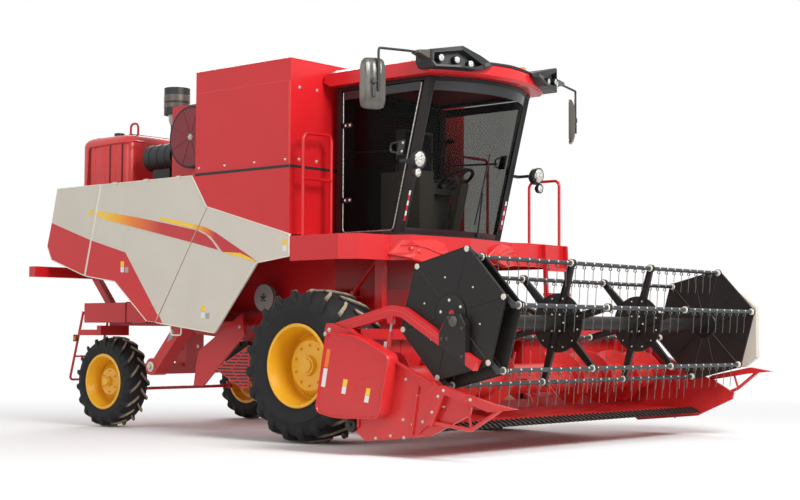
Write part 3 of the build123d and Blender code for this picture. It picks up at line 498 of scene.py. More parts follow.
door_edge = [(-1.694, 2.486), (-1.950, 2.850), (-3.565, 2.850), (-3.841, 1.783), (-3.280, 1.704),
             (-2.700, 1.246)]
EDGES = {"hood_edges": [[(-3.577, 2.853), (-3.859, 1.787)],
                        [(-3.859, 1.787), (-4.511, 1.994), (-4.601, 2.160)],
                        [(-4.419, 2.851), (-3.577, 2.853)]], "door_edges": [door_edge],
         "front_edges": [[(-1.683, 2.490), (-0.407, 2.143)], [(-0.405, 2.140), (-0.404, 1.911)],
                         [(-0.405, 1.911), (-0.893, 1.855), (-1.553, 1.111)],
                         [(-1.553, 1.111), (-2.525, 1.224)]]}
for side, hand in ((-1, "right"), (1, "left")):
    door_body = f"mid_panel_{hand}"
    face = side * 1.450
    for name, shapes, material, body, lift, slot_name in (
            ("hood_red", [HOOD_RED], red_paint, "root", SKIN, "red_paint"),
            ("door_red", [DOOR_RED], red_paint, door_body, SKIN, "red_paint"),
            ("front_red", [FRONT_RED], red_paint, "root", SKIN, "red_paint"),
            ("hood_stripe", REAR_BLOCKS, rear_stripe, "root", FILM, "yellow_paint"),
            ("door_stripe", DOOR_BLOCKS, rear_stripe, door_body, FILM, "yellow_paint"),
            ("front_stripe", FRONT_BLOCKS, rear_stripe, "root", FILM, "red_paint"),
            ("door_second_stripe", DOOR_SECOND, front_stripe, door_body, FILM, "yellow_paint"),
            ("front_second_stripe", FRONT_SECOND, front_stripe, "root", FILM, "red_paint"),
            ("stripe_tip", TIP, stripe_tip, "root", FILM + 0.0006, "yellow_paint")):
        build = bmesh.new()
        for shape in shapes:
            plate(build, shape, face, face + side * lift)
        piece(f"{name}_{hand}", build, material, body, smooth=False)
    for name, runs in EDGES.items():
        build = bmesh.new()
        for run in runs:
            bent_bar(build, [(x, face - side * 0.002, z) for x, z in run], 0.007, 0.01, 8)
        piece(f"{name}_{hand}", build, highlight_cream, door_body if name == "door_edges" else "root")
    build = bmesh.new()
    bent_bar(build, [(-2.290, face - side * 0.012, 1.215), (-2.280, face - side * 0.012, 1.085),
                     (-2.110, face - side * 0.012, 1.085), (-2.110, face - side * 0.012, 1.190)], 0.008,
             0.03)
    piece(f"panel_grip_{hand}", build, highlight_cream, "root")
    for k, (x, z, material, body) in enumerate((
            (-3.145, 1.905, stripe_tip, door_body), (-3.145, 1.840, blank_white, door_body),
            (-3.065, 1.835, blank_grey, door_body), (-1.735, 1.378, stripe_tip, "root"),
            (-1.735, 1.303, blank_white, "root"), (-1.660, 1.296, blank_grey, "root"),
            (-0.470, 2.060, stripe_tip, "root"), (-0.470, 1.995, blank_white, "root"))):
        build = bmesh.new()
        plate(build, [(x - 0.030, z - 0.031), (x + 0.030, z - 0.031), (x + 0.030, z + 0.031),
                      (x - 0.030, z + 0.031)], face, face + side * 0.0024)
        piece(f"side_plate_{k}_{hand}", build, material, body, smooth=False)

# Grain tank: folded sheet box with a rolled top lip and corner folds in a lighter red, painted
# highlights; a thin black strip of painted shadow fills the gap over the side panels, and bolts go
# through its front sheet; a ring for the hoist stands on the radiator box behind it.


def prism(build, corners, push):
    """A solid from a flat outline of (forward, left, up) points pushed along a vector."""
    near = [build.verts.new(at(*corner)) for corner in corners]
    far = [build.verts.new(at(*corner) + Vector(push)) for corner in corners]
    join_rings(build, [near, far], ends=True)


def turned(build, profile, start, toward, sides=32):
    """A turned fitting: profile holds (radius, distance) along the line from start toward a point."""
    origin = at(*start)
    axis = (at(*toward) - origin).normalized()
    across = axis.orthogonal().normalized()
    beside = axis.cross(across)
    turns = [2 * math.pi * k / sides for k in range(sides)]
    rings = []
    for r, d in profile:
        spots = [origin + axis * d + (across * math.cos(turn) + beside * math.sin(turn)) * r
                 for turn in turns]
        rings.append([build.verts.new(spot) for spot in spots])
    join_rings(build, rings, ends=True)


def screw(build, place, toward, r=0.011):
    """A washer, a six-sided head and a stud end, standing on a surface at place."""
    turned(build, [(r * 1.6, -0.002), (r * 1.6, 0.003)], place, toward, 16)
    turned(build, [(r, 0.003), (r, 0.012), (r * 0.8, 0.014)], place, toward, 6)
    turned(build, [(r * 0.5, 0.014), (r * 0.5, 0.020)], place, toward, 8)


zinc_bolt = paint("zinc_bolt", (0.62, 0.60, 0.52), roughness=0.35, coat=0.0, dust=0.15)
zinc_bolt.node_tree.nodes["Principled BSDF"].inputs["Metallic"].default_value = 0.6
dark_bolt = paint("dark_bolt", (0.10, 0.09, 0.08), roughness=0.42, coat=0.0, dust=0.3)
dark_bolt.node_tree.nodes["Principled BSDF"].inputs["Metallic"].default_value = 0.8
# Black for the rubber parts, and also painted shade: the strip in the tank's gap and the guard's slots.
black_rubber_and_shade = paint("black_rubber_and_shade", (0.010, 0.010, 0.011), roughness=0.6, coat=0.0, bump=0.08, scale=90.0)
# A lighter copy of the red enamel, painted light: highlights on the tank's lip and folds, the shield's rim
# and the arms' seams, and lit red on the fuel tank, auger and platform cheeks.
lit_red = paint("lit_red", (0.66, 0.030, 0.028), coat=0.12)
build = bmesh.new()
lip_x, lip_y, lip_z = (-1.902, -0.413), 1.437, 3.996
bent_bar(build, [(lip_x[0], -lip_y, lip_z), (lip_x[1], -lip_y, lip_z), (lip_x[1], lip_y, lip_z),
                 (lip_x[0], lip_y, lip_z), (lip_x[0], -lip_y + 0.02, lip_z)], 0.007, 0.02, 8)
piece("tank_lip", build, lit_red, "root")
# A thin black strip of painted shadow, where the tank's upper box stands out over the side panels.
build = bmesh.new()
for side in (-1, 1):
    plate(build, [(-1.900, 2.842), (-0.412, 2.842), (-0.412, 2.872), (-1.900, 2.872)], side * 1.4495,
          side * 1.4515)
prism(build, [(-0.4005, -1.45, 2.842), (-0.4005, 1.45, 2.842), (-0.4005, 1.45, 2.872),
              (-0.4005, -1.45, 2.872)], (-0.0020, 0, 0))
piece("tank_shadow_gap", build, black_rubber_and_shade, "root", smooth=False)
build = bmesh.new()
for y in (-1.31, -1.05, 1.05, 1.31):
    for z in (2.935, 3.70):
        screw(build, (-0.410, y, z), (1.0, y, z))
for side in (-1, 1):
    for x in (-1.84, -1.42, -0.95, -0.48):
        screw(build, (x, side * 1.440, 2.930), (x, side * 2.0, 2.930), 0.008)
piece("tank_bolts", build, zinc_bolt, "root")
# The corner folds take the lighter red, a painted highlight.
build = bmesh.new()
for side in (-1, 1):
    plate(build, [(-0.441, 3.760), (-0.409, 3.760), (-0.409, 2.882), (-0.441, 2.882)], side * 1.4385,
          side * 1.4425)
    plate(build, [(-1.903, 3.766), (-0.441, 3.766), (-0.441, 3.756), (-1.903, 3.756)], side * 1.4275,
          side * 1.4415)
piece("tank_corner_folds", build, lit_red, "root", smooth=False, bevel=0.001)
build = bmesh.new()
bent_bar(build, [(-2.300, -0.935, 3.700), (-2.300, -0.935, 3.790), (-2.220, -0.935, 3.790),
                 (-2.220, -0.935, 3.700)], 0.010, 0.040)
piece("hoist_ring", build, red_paint, "root")

# Dust screen: a round drum of punched sheet that turns on the radiator box, with a dark
# sealing rim and a bolted hub; the bolt and its washer are bare steel.
screen_red, nodes, links, shader = new_material("screen_red")
place = nodes.new("ShaderNodeTexCoord")
holes = nodes.new("ShaderNodeTexVoronoi")
holes.inputs["Scale"].default_value = 170.0
holes.inputs["Randomness"].default_value = 0.0
links.new(place.outputs["Object"], holes.inputs["Vector"])
punched = nodes.new("ShaderNodeMapRange")
punched.inputs["From Min"].default_value = 0.20
punched.inputs["From Max"].default_value = 0.30
links.new(holes.outputs["Distance"], punched.inputs["Value"])
haze = nodes.new("ShaderNodeTexNoise")
haze.inputs["Scale"].default_value = 5.0
links.new(place.outputs["Object"], haze.inputs["Vector"])
sheet_tone = nodes.new("ShaderNodeMixRGB")
sheet_tone.inputs["Color1"].default_value = (0.20, 0.014, 0.024, 1)
sheet_tone.inputs["Color2"].default_value = (0.27, 0.022, 0.034, 1)
links.new(haze.outputs["Fac"], sheet_tone.inputs["Fac"])
# The holes are dark dots of painted shade, where the punched sheet would show the dark inside.
hole_shade = nodes.new("ShaderNodeMixRGB")
hole_shade.inputs["Color1"].default_value = (0.07, 0.006, 0.010, 1)
links.new(punched.outputs["Result"], hole_shade.inputs["Fac"])
links.new(sheet_tone.outputs["Color"], hole_shade.inputs["Color2"])
links.new(hole_shade.outputs["Color"], shader.inputs["Base Color"])
mesh_bump = nodes.new("ShaderNodeBump")
mesh_bump.inputs["Strength"].default_value = 0.15
links.new(punched.outputs["Result"], mesh_bump.inputs["Height"])
links.new(mesh_bump.outputs["Normal"], shader.inputs["Normal"])
shader.inputs["Roughness"].default_value = 0.45
frame["nodes"]["dust_screen"].data.materials.clear()
frame["nodes"]["dust_screen"].data.materials.append(screen_red)
SCREEN_X, SCREEN_Z = -2.285, 3.340
build = bmesh.new()
lathe(build, [(0.3335, -1.1958), (0.3555, -1.1958), (0.3565, -1.175), (0.3552, -1.175), (0.3345, -1.1945)],
      at(SCREEN_X, 0, SCREEN_Z))
piece("screen_seal", build, black_rubber_and_shade, "dust_screen")
build = bmesh.new()
screw(build, (SCREEN_X, -1.1935, SCREEN_Z), (SCREEN_X, -2.0, SCREEN_Z), 0.020)
for k in range(6):
    x = SCREEN_X + 0.034 * math.cos(k * math.pi / 3)
    z = SCREEN_Z + 0.034 * math.sin(k * math.pi / 3)
    screw(build, (x, -1.1925, z), (x, -2.0, z), 0.005)
piece("screen_hub_bolts", build, zinc_bolt, "dust_screen")
build = bmesh.new()
for k in range(8):
    turn = 2 * math.pi * (k + 0.5) / 8
    ends = [(SCREEN_X + r * math.cos(turn), -1.1962, SCREEN_Z + r * math.sin(turn)) for r in (0.05, 0.330)]
    bent_bar(build, ends, 0.0035, 0.01, 6)
piece("screen_spokes", build, screen_red, "dust_screen")

# Fuel tank and air cleaner: a pressed steel tank under clamp straps with a capped filler and
# a hand hoop; beside it the ribbed cleaner drum and its clear dust bowl with a bronze lid.


def eased_loop(points, bend, steps=6):
    """A closed outline with its corners rounded."""
    points = [Vector(point) for point in points]
    loop = []
    for k, here in enumerate(points):
        after = points[(k + 1) % len(points)]
        loop += [tuple(p) for p in corner_arc(points[k - 1], here, after, bend, steps)]
    return loop


filler_x, filler_y = -4.120, -0.760
build = bmesh.new()
loops = []
for inset, z in [(0.0, 2.855), (0.0, 3.390), (0.008, 3.425), (0.030, 3.458), (0.062, 3.481),
                 (0.105, 3.490)]:
    corners = [(-4.375 + inset, -1.150 + inset), (-3.440 - inset, -1.150 + inset),
               (-3.440 - inset, -0.330 - inset), (-4.375 + inset, -0.330 - inset)]
    loops.append([build.verts.new(at(x, y, z)) for x, y in eased_loop(corners, 0.135)])
join_rings(build, loops, ends=True)
turned(build, [(0.075, -0.03), (0.075, 0.006), (0.060, 0.012), (0.060, 0.070), (0.001, 0.070)],
       (filler_x, filler_y, 3.490), (filler_x, filler_y, 5), 32)
for x in (-4.095, -3.905, -3.700):
    bent_bar(build, [(x, -1.151, 2.90), (x, -1.151, 3.385)], 0.009, 0.01, 8)
# The fuel tank's shell takes the lighter red, painted light.
tank_shell = piece("fuel_tank_shell", build, lit_red, "root")
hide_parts("fuel_tank")
build = bmesh.new()
bent_bar(build, [(-3.700, -0.920, 3.480), (-3.700, -0.920, 3.640), (-3.560, -0.920, 3.640),
                 (-3.560, -0.920, 3.480)], 0.014, 0.060)
piece("fuel_tank_hoop", build, red_paint, "root")
build = bmesh.new()
for x in (-4.180, -3.790, -3.560):
    bent_bar(build, [(x, -1.155, 2.86), (x, -1.155, 3.390), (x, -1.060, 3.494), (x, -0.420, 3.494)], 0.007,
             0.07, 8)
piece("fuel_tank_straps", build, black_rubber_and_shade, "root")
build = bmesh.new()
turned(build, [(0.063, 0.0), (0.066, 0.004), (0.066, 0.018), (0.058, 0.026), (0.001, 0.027)],
       (filler_x, filler_y, 3.552), (filler_x, filler_y, 4.0))
piece("filler_cap", build, dark_plastic, "root")
build = bmesh.new()
bent_bar(build, [(-4.230, -1.159, 2.870), (-4.200, -1.159, 3.370), (-3.640, -1.159, 3.385),
                 (-3.330, -1.150, 3.380)], 0.010, 0.05)
bent_bar(build, [(-3.330, -1.150, 3.380), (-3.330, -1.000, 3.385), (-3.330, -0.985, 3.300)], 0.010, 0.04)
piece("deck_grab_bar", build, red_paint, "root")
bowl_x, bowl_y = -2.800, -0.960
bronze_lid = paint("bronze_lid", (0.085, 0.070, 0.052), roughness=0.34, coat=0.1)
build = bmesh.new()
turned(build, [(0.1440, 0.0), (0.1525, 0.004), (0.1530, 0.052), (0.1450, 0.060), (0.1450, 0.072),
               (0.1530, 0.080), (0.1530, 0.150), (0.1430, 0.162)], (bowl_x, bowl_y, 3.738),
       (bowl_x, bowl_y, 4.5), 48)
turned(build, [(0.139, 0.0), (0.1420, 0.006), (0.1420, 0.038), (0.122, 0.056), (0.064, 0.070),
               (0.001, 0.073)], (bowl_x, bowl_y, 3.905), (bowl_x, bowl_y, 4.5), 48)
piece("dust_bowl_lid", build, bronze_lid, "root")
clear_bowl = paint("clear_bowl", (0.42, 0.38, 0.36), roughness=0.2, coat=0.4)
build = bmesh.new()
turned(build, [(0.0705, 0.0), (0.078, 0.01), (0.094, 0.05), (0.100, 0.12), (0.1065, 0.165)],
       (bowl_x, bowl_y, 3.540), (bowl_x, bowl_y, 4.5), 40)
piece("dust_bowl", build, clear_bowl, "root")
build = bmesh.new()
drum_y, drum_z = -0.985, 3.170
clamp = [(0.1605, 0.0), (0.1640, 0.002), (0.1640, 0.016), (0.1605, 0.018)]
for x in (-3.095, -2.955, -2.815):
    turned(build, clamp, (x, drum_y, drum_z), (0.0, drum_y, drum_z), 48)
screw(build, (-3.185, drum_y, drum_z), (-4.0, drum_y, drum_z), 0.016)
piece("cleaner_clamps", build, black_rubber_and_shade, "root")

# Tail: the amber side lamp on its plate at the rear ladder and the rubber straps round the
# steel tool box, each a small pressed or moulded fitting.
amber, nodes, links, shader = new_material("amber_lens")
ribs = nodes.new("ShaderNodeTexWave")
ribs.inputs["Scale"].default_value = 60.0
place = nodes.new("ShaderNodeTexCoord")
links.new(place.outputs["Object"], ribs.inputs["Vector"])
glow = nodes.new("ShaderNodeMixRGB")
glow.inputs["Color1"].default_value = (0.80, 0.17, 0.005, 1)
glow.inputs["Color2"].default_value = (0.95, 0.30, 0.010, 1)
links.new(ribs.outputs["Fac"], glow.inputs["Fac"])
links.new(glow.outputs["Color"], shader.inputs["Base Color"])
shader.inputs["Roughness"].default_value = 0.14
shader.inputs["Coat Weight"].default_value = 0.6
build = bmesh.new()
turned(build, [(0.026, 0.0), (0.026, 0.014), (0.018, 0.026), (0.004, 0.030)], (-4.655, -0.975, 1.046),
       (-4.655, -2.0, 1.046), 24)
piece("rear_side_lamp", build, amber, "root")
build = bmesh.new()
plate(build, [(-4.700, 1.004), (-4.610, 1.004), (-4.610, 1.088), (-4.700, 1.088)], -0.976, -0.966)
piece("rear_lamp_plate", build, dark_plastic, "root", bevel=0.002)
build = bmesh.new()
y_out, z_low, z_high = -1.0, 1.235, 1.475
for x in (-3.64, -3.25):
    bent_bar(build, [(x, y_out + 0.10, z_low - 0.003), (x, y_out - 0.003, z_low - 0.003),
                     (x, y_out - 0.003, z_high + 0.003), (x, y_out + 0.10, z_high + 0.003)], 0.006, 0.02, 8)
piece("tool_box_straps", build, black_rubber_and_shade, "root")

# Drives on the right side: rubber belts round the red pulleys, tensioned between the shafts,
# and a slotted guard plate of punched sheet under the elevator's leg, its slots black strips of painted
# shade.
belt_rubber = paint("belt_rubber", (0.016, 0.015, 0.014), roughness=0.7, coat=0.0, dust=0.5, bump=0.1,
                    scale=60.0)


def belt(build, pulleys, y, width, thick):
    """A belt laid round the outside of pulleys given as (x, z, r), as its outer hull."""
    points = []
    for x, z, r in pulleys:
        for k in range(48):
            points.append((x + r * math.cos(math.pi * k / 24), z + r * math.sin(math.pi * k / 24)))
    points = sorted(points)
    hull = []
    for run in (points, points[::-1]):
        start = len(hull)
        for p in run:
            while len(hull) >= start + 2 and ((hull[-1][0] - hull[-2][0]) * (p[1] - hull[-2][1])
                                              - (hull[-1][1] - hull[-2][1]) * (p[0] - hull[-2][0])) <= 0:
                hull.pop()
            hull.append(p)
        hull.pop()
    loops = []
    for offset, y_here in ((0.0, y), (thick, y + 0.002), (thick, y + width - 0.002), (0.0, y + width)):
        loop = []
        for k, (x, z) in enumerate(hull):
            after, before = hull[(k + 1) % len(hull)], hull[k - 1]
            ahead = Vector((after[0] - before[0], after[1] - before[1]))
            out = Vector((ahead.y, -ahead.x)).normalized() * offset
            loop.append(build.verts.new(at(x + out.x, y_here, z + out.y)))
        loops.append(loop)
    join_rings(build, loops + loops[:1])


PULLEYS = [(-1.355, 1.500, 0.146), (-2.300, 1.480, 0.186), (-3.000, 1.750, 0.116)]
build = bmesh.new()
for y in (-0.899, -0.867):
    belt(build, PULLEYS[:2], y, 0.013, 0.008)
belt(build, PULLEYS[1:], -0.883, 0.013, 0.016)
piece("drive_belts", build, belt_rubber, "root")
build = bmesh.new()
for x, z, _ in PULLEYS:
    turned(build, [(0.016, 0.0), (0.016, 0.022), (0.012, 0.026)], (x, -0.905, z), (x, -2.0, z), 6)
    for k in range(5):
        turn = 2 * math.pi * k / 5 + 0.3
        bolt_x, bolt_z = x + 0.038 * math.cos(turn), z + 0.038 * math.sin(turn)
        screw(build, (bolt_x, -0.904, bolt_z), (bolt_x, -2.0, bolt_z), 0.006)
piece("pulley_bolts", build, dark_bolt, "root")
guard_outline = [(-2.020, 0.705), (-1.465, 0.980), (-1.465, 0.505), (-1.584, 0.494)]
build = bmesh.new()
plate(build, guard_outline, -1.012, -1.001)
piece("belt_guard", build, red_paint, "root", bevel=0.002)
# The slots are black strips laid on the plate, painted shade where the openings would show dark.
build = bmesh.new()
for k in range(12):
    z = 0.530 + 0.036 * k
    if z < 0.705:
        left = -1.584 + (-2.020 + 1.584) * (z - 0.494) / (0.705 - 0.494)
    else:
        left = -2.020 + (z - 0.705) / (0.980 - 0.705) * 0.555
    for x0, x1 in ((left + 0.035, (left - 1.475) / 2 - 0.012), ((left - 1.475) / 2 + 0.012, -1.485)):
        if x1 - x0 > 0.03:
            plate(build, [(x0, z - 0.008), (x1, z - 0.008), (x1, z + 0.008), (x0, z + 0.008)], -1.0135,
                  -1.0118)
piece("belt_guard_slot_shade", build, black_rubber_and_shade, "root", smooth=False)
build = bmesh.new()
for x, z in ((-2.915, 0.720), (-2.140, 1.640), (-2.560, 1.130), (-2.330, 0.960), (-1.640, 1.180)):
    y_face = -1.190 if x < -2.0 and z != 0.960 else -1.000
    screw(build, (x, y_face, z), (x, -2.0, z), 0.012)
turned(build, [(0.060, 0.0), (0.060, 0.014), (0.050, 0.020), (0.030, 0.020), (0.030, 0.042),
               (0.020, 0.048)], (-2.925, -1.190, 0.720), (-2.925, -2.0, 0.720), 28)
piece("elevator_bolts", build, zinc_bolt, "root")
build = bmesh.new()
plate(build, [(-2.640, 1.010), (-2.560, 1.040), (-2.520, 1.140), (-2.600, 1.110)], -1.1925, -1.1895)
piece("elevator_blank_plate", build, blank_grey, "root", smooth=False)

# Cab door and windows: dark tinted glass glued on black frames, with a bright bead round the
# door glass, steel hinges and latch under rivets, and a grab bar behind the pane.
bright_bead = paint("bright_bead", (0.42, 0.40, 0.36), roughness=0.25, coat=0.0, dust=0.0)
bright_bead.node_tree.nodes["Principled BSDF"].inputs["Metallic"].default_value = 0.7
cab_trim = paint("cab_trim", (0.012, 0.013, 0.015), roughness=0.30, coat=0.1, bump=0.04, scale=70.0)
DOOR = [(-0.205, 2.178), (0.508, 2.178), (0.897, 3.675), (-0.205, 3.675)]
for side, hand in ((-1, "right"), (1, "left")):
    body, face = f"cab_door_{hand}", side * 0.850
    build = bmesh.new()
    bent_bar(build, [(x, face + side * 0.001, z) for x, z in (DOOR[3], DOOR[0], DOOR[1], DOOR[2])], 0.0055,
             0.05, 8)
    piece(f"door_bead_{hand}", build, bright_bead, body)
    build = bmesh.new()
    for run in ([(-0.219, 2.162), (0.519, 2.162), (0.512, 2.186), (-0.196, 2.186)],
                [(-0.219, 2.162), (-0.196, 2.162), (-0.196, 3.688), (-0.219, 3.688)],
                [(0.519, 2.162), (0.917, 3.688), (0.888, 3.688), (0.494, 2.162)],
                [(-0.219, 3.688), (0.917, 3.688), (0.897, 3.600), (-0.219, 3.600)]):
        plate(build, run, face - side * 0.001, face + side * 0.0012)
    piece(f"door_frame_print_{hand}", build, cab_trim, body, smooth=False)
    build = bmesh.new()
    for z in (2.520, 3.320):
        plate(build, [(-0.205, z - 0.026), (-0.085, z - 0.026), (-0.070, z), (-0.085, z + 0.026),
                      (-0.205, z + 0.026)], face + side * 0.001, face + side * 0.008)
    plate(build, [(0.560, 2.950), (0.650, 2.950), (0.690, 3.100), (0.600, 3.100)], face + side * 0.001,
          face + side * 0.016)
    bent_bar(build, [(0.588, face + side * 0.010, 2.975), (0.500, face + side * 0.034, 2.985),
                     (0.500, face + side * 0.034, 3.070), (0.600, face + side * 0.012, 3.085)], 0.009, 0.03)
    bent_bar(build, [(-0.200, face - side * 0.024, 3.030), (-0.150, face - side * 0.050, 3.034),
                     (0.530, face - side * 0.050, 3.010), (0.575, face - side * 0.020, 3.008)], 0.011, 0.04)
    piece(f"door_hinges_latch_{hand}", build, cab_trim, body, bevel=0.0015)
    build = bmesh.new()
    for x, z in ((-0.170, 2.520), (-0.105, 2.520), (-0.170, 3.320), (-0.105, 3.320), (0.655, 3.070),
                 (0.640, 2.984)):
        lift = 0.016 if x > 0.5 else 0.008
        turned(build, [(0.014, 0.0), (0.013, 0.004), (0.007, 0.008), (0.001, 0.009)],
               (x, face + side * lift, z), (x, side * 3.0, z), 14)
    piece(f"door_rivets_{hand}", build, zinc_bolt, body)

# Windscreen surround: a printed black band along the glass's head and foot, strips of
# reflective tape on the pillars, and a wiper parked on the glass.
GLASS_FOOT, GLASS_HEAD, GLASS_HALF, GLASS_LEAN = 2.150, 3.700, 0.7797, 0.26


def screen_point(y, z, out=0.004):
    """A point just in front of the curved windscreen at a height and a distance from the middle."""
    share = (z - GLASS_FOOT) / (GLASS_HEAD - GLASS_FOOT)
    shift, bulge = GLASS_LEAN * 1.550 * share, 0.112 + (0.290 - 0.112) * share
    radius = (GLASS_HALF ** 2 + bulge ** 2) / (2 * bulge)
    return (0.588 + shift + bulge - radius + math.sqrt(radius ** 2 - y ** 2) + out, y, z)


for name, low, high in (("screen_head_band", 3.600, 3.697), ("screen_foot_band", 2.153, 2.205)):
    build = bmesh.new()
    rows = [[build.verts.new(at(*screen_point(-0.776 + 1.552 * k / 24, z, out))) for k in range(25)]
            for z, out in ((low, 0.0006), (low, 0.002), (high, 0.002), (high, 0.0006))]
    join_rings(build, rows + rows[:1], around=False)
    piece(name, build, cab_trim, "root")
build = bmesh.new()
for side in (-1, 1):
    bent_bar(build, [screen_point(side * 0.772, z, 0.004) for z in (2.16, 2.55, 2.95, 3.35, 3.69)], 0.009,
             0.02, 8)
bent_bar(build, [screen_point(0.30, 2.175, 0.020), screen_point(0.16, 2.62, 0.022)], 0.009, 0.02, 8)
bent_bar(build, [screen_point(0.30, 2.175, 0.006), screen_point(0.30, 2.175, 0.030)], 0.022, 0.01, 12)
bent_bar(build, [screen_point(0.20, 2.28, 0.010), screen_point(0.16, 2.62, 0.010),
                 screen_point(0.11, 3.02, 0.010)], 0.008, 0.05, 6)
piece("wiper_and_seals", build, black_rubber_and_shade, "root")
tape_white = paint("tape_white", (0.66, 0.66, 0.64), coat=0.0, dust=0.0)
for side, hand in ((-1, "right"), (1, "left")):
    for k in range(6):
        build = bmesh.new()
        low = 2.270 + 0.052 * k
        corners = [(0.600 + GLASS_LEAN * (z - GLASS_FOOT) + 0.0006, side * (0.800 + dy), z)
                   for z, dy in ((low, 0.0), (low, 0.026), (low + 0.048, 0.026), (low + 0.048, 0.0))]
        prism(build, corners, (0.0015, 0, 0))
        piece(f"pillar_tape_{k}_{hand}", build, tape_white if k % 2 else red_paint, "root",
                      smooth=False)

# Driver's place: a sprung seat under black cloth cushions, beside a moulded taupe console
# with levers; the wheel has a soft black rim on a thin leaning column.
taupe_plastic = paint("taupe_plastic", (0.17, 0.155, 0.13), roughness=0.55, coat=0.0, bump=0.06,
                      scale=140.0, dust=0.0)
frame["nodes"]["operator_station"].data.materials.clear()
frame["nodes"]["operator_station"].data.materials.append(taupe_plastic)


def cushion(name, corners, thick, crown):
    """A crowned pad over a four-cornered seat face, its rim pulled in between the corners."""
    count = 16
    base = [at(*corner) for corner in corners]
    out = (base[1] - base[0]).cross(base[3] - base[0]).normalized()
    if out.z < -0.2 or (abs(out.z) < 0.9 and out.x < 0):
        out = -out
    build = bmesh.new()
    sheets = []
    for level in (0.0, 1.0):
        sheet_points = []
        for i in range(count + 1):
            row = []
            for j in range(count + 1):
                u, v = i / count, j / count
                pull_u, pull_v = 0.018 * math.sin(math.pi * u), 0.018 * math.sin(math.pi * v)
                uu = u + (0.5 - u) * 2 * pull_v * abs(2 * u - 1) ** 3
                vv = v + (0.5 - v) * 2 * pull_u * abs(2 * v - 1) ** 3
                flat = base[0].lerp(base[1], uu).lerp(base[3].lerp(base[2], uu), vv)
                edge = min(u, 1 - u, v, 1 - v) * 2
                swell = (1 - (1 - edge) ** 3.2)
                long_seam = 0.006 * math.exp(-((v - 0.5) / 0.02) ** 2)
                cross_seams = 0.004 * math.exp(-((abs(u - 0.5) - 0.28) / 0.02) ** 2)
                channel = long_seam + cross_seams
                puff = level * (thick * (0.35 + 0.65 * swell) + crown * swell ** 2 - channel)
                row.append(flat + out * puff)
            sheet_points.append([build.verts.new(p) for p in row])
        sheets.append(sheet_points)
    for sheet_points in sheets:
        join_rings(build, sheet_points, around=False)
    rim = ([(0, j) for j in range(count)] + [(i, count) for i in range(count)]
           + [(count, j) for j in range(count, 0, -1)] + [(i, 0) for i in range(count, 0, -1)])
    for (i, j), (m, n) in zip(rim, rim[1:] + rim[:1]):
        build.faces.new((sheets[0][i][j], sheets[0][m][n], sheets[1][m][n], sheets[1][i][j]))
    pad = piece(name, build, seat_cloth, "root")
    pad.data.set_sharp_from_angle(angle=math.radians(75))
    smooth_pad = pad.modifiers.new("fine_cloth", "SUBSURF")
    smooth_pad.levels = smooth_pad.render_levels = 1


cushion("seat_cushion", [(0.075, -0.235, 2.7205), (0.505, -0.235, 2.7205), (0.505, 0.235, 2.7205),
                         (0.075, 0.235, 2.7205)], 0.040, 0.028)
cushion("seat_back", [(0.1205, -0.220, 2.725), (0.1205, 0.220, 2.725), (0.1205, 0.220, 3.310),
                      (0.1205, -0.220, 3.310)], 0.032, 0.026)
build = bmesh.new()
wheel_at, lean_axis = at(0.660, 0.0, 2.760), Matrix.Rotation(math.radians(-30), 4, "Y")
loops = []
for k in range(48):
    turn = 2 * math.pi * k / 48
    loop = []
    for m in range(10):
        roll = 2 * math.pi * m / 10
        r = 0.190 + 0.0185 * math.cos(roll)
        grip = Vector((r * math.cos(turn), r * math.sin(turn), 0.0185 * math.sin(roll)))
        loop.append(build.verts.new(wheel_at + lean_axis @ grip))
    loops.append(loop)
join_rings(build, loops + loops[:1])
piece("wheel_rim_grip", build, black_rubber_and_shade, "root")
build = bmesh.new()
for x, y, lift, tilt in ((0.300, -0.400, 0.17, 0.03), (0.410, -0.400, 0.13, 0.02),
                         (0.250, -0.480, 0.12, -0.01)):
    bent_bar(build, [(x, y, 2.815), (x + tilt, y, 2.820 + lift * 0.8)], 0.007, 0.01, 8)
    turned(build, [(0.010, 0.0), (0.020, 0.014), (0.022, 0.034), (0.014, 0.050), (0.001, 0.054)],
           (x + tilt, y, 2.820 + lift * 0.78), (x + tilt * 1.4, y, 3.6), 16)
prism(build, [(0.560, -0.540, 2.800), (0.600, -0.540, 3.020), (0.600, -0.350, 3.020),
              (0.560, -0.350, 2.800)], (0.030, 0, 0.0))
piece("levers_and_monitor", build, dark_plastic, "root", bevel=0.002)

# Lamps: clear lenses over bright reflectors, drawn as lenses whose faceted colour holds the
# reflectors' glints as painted reflection, in black pods on the roof and on the pillars; the beacon
# is a clear amber cap on a black foot.
lamp_glass, nodes, links, shader = new_material("lamp_glass")
place = nodes.new("ShaderNodeTexCoord")
facets = nodes.new("ShaderNodeTexVoronoi")
facets.inputs["Scale"].default_value = 62.0
links.new(place.outputs["Object"], facets.inputs["Vector"])
# Pale and dark facets: painted glints of the reflectors behind the lens.
reflector_glints = nodes.new("ShaderNodeValToRGB")
reflector_glints.color_ramp.elements[0].position, reflector_glints.color_ramp.elements[0].color = 0.15, (0.74, 0.73, 0.70, 1)
reflector_glints.color_ramp.elements[1].position, reflector_glints.color_ramp.elements[1].color = 0.80, (0.22, 0.21, 0.19, 1)
links.new(facets.outputs["Distance"], reflector_glints.inputs["Fac"])
links.new(reflector_glints.outputs["Color"], shader.inputs["Base Color"])
shader.inputs["Roughness"].default_value = 0.10
shader.inputs["Coat Weight"].default_value = 0.7
shader.inputs["Coat Roughness"].default_value = 0.03
facet_bump = nodes.new("ShaderNodeBump")
facet_bump.inputs["Strength"].default_value = 0.25
links.new(facets.outputs["Distance"], facet_bump.inputs["Height"])
links.new(facet_bump.outputs["Normal"], shader.inputs["Normal"])
ROOF_LAMPS = [(1.335, 0.660, 3.838), (1.300, 0.835, 3.862), (1.215, 0.980, 3.872)]
rings, lenses = bmesh.new(), bmesh.new()
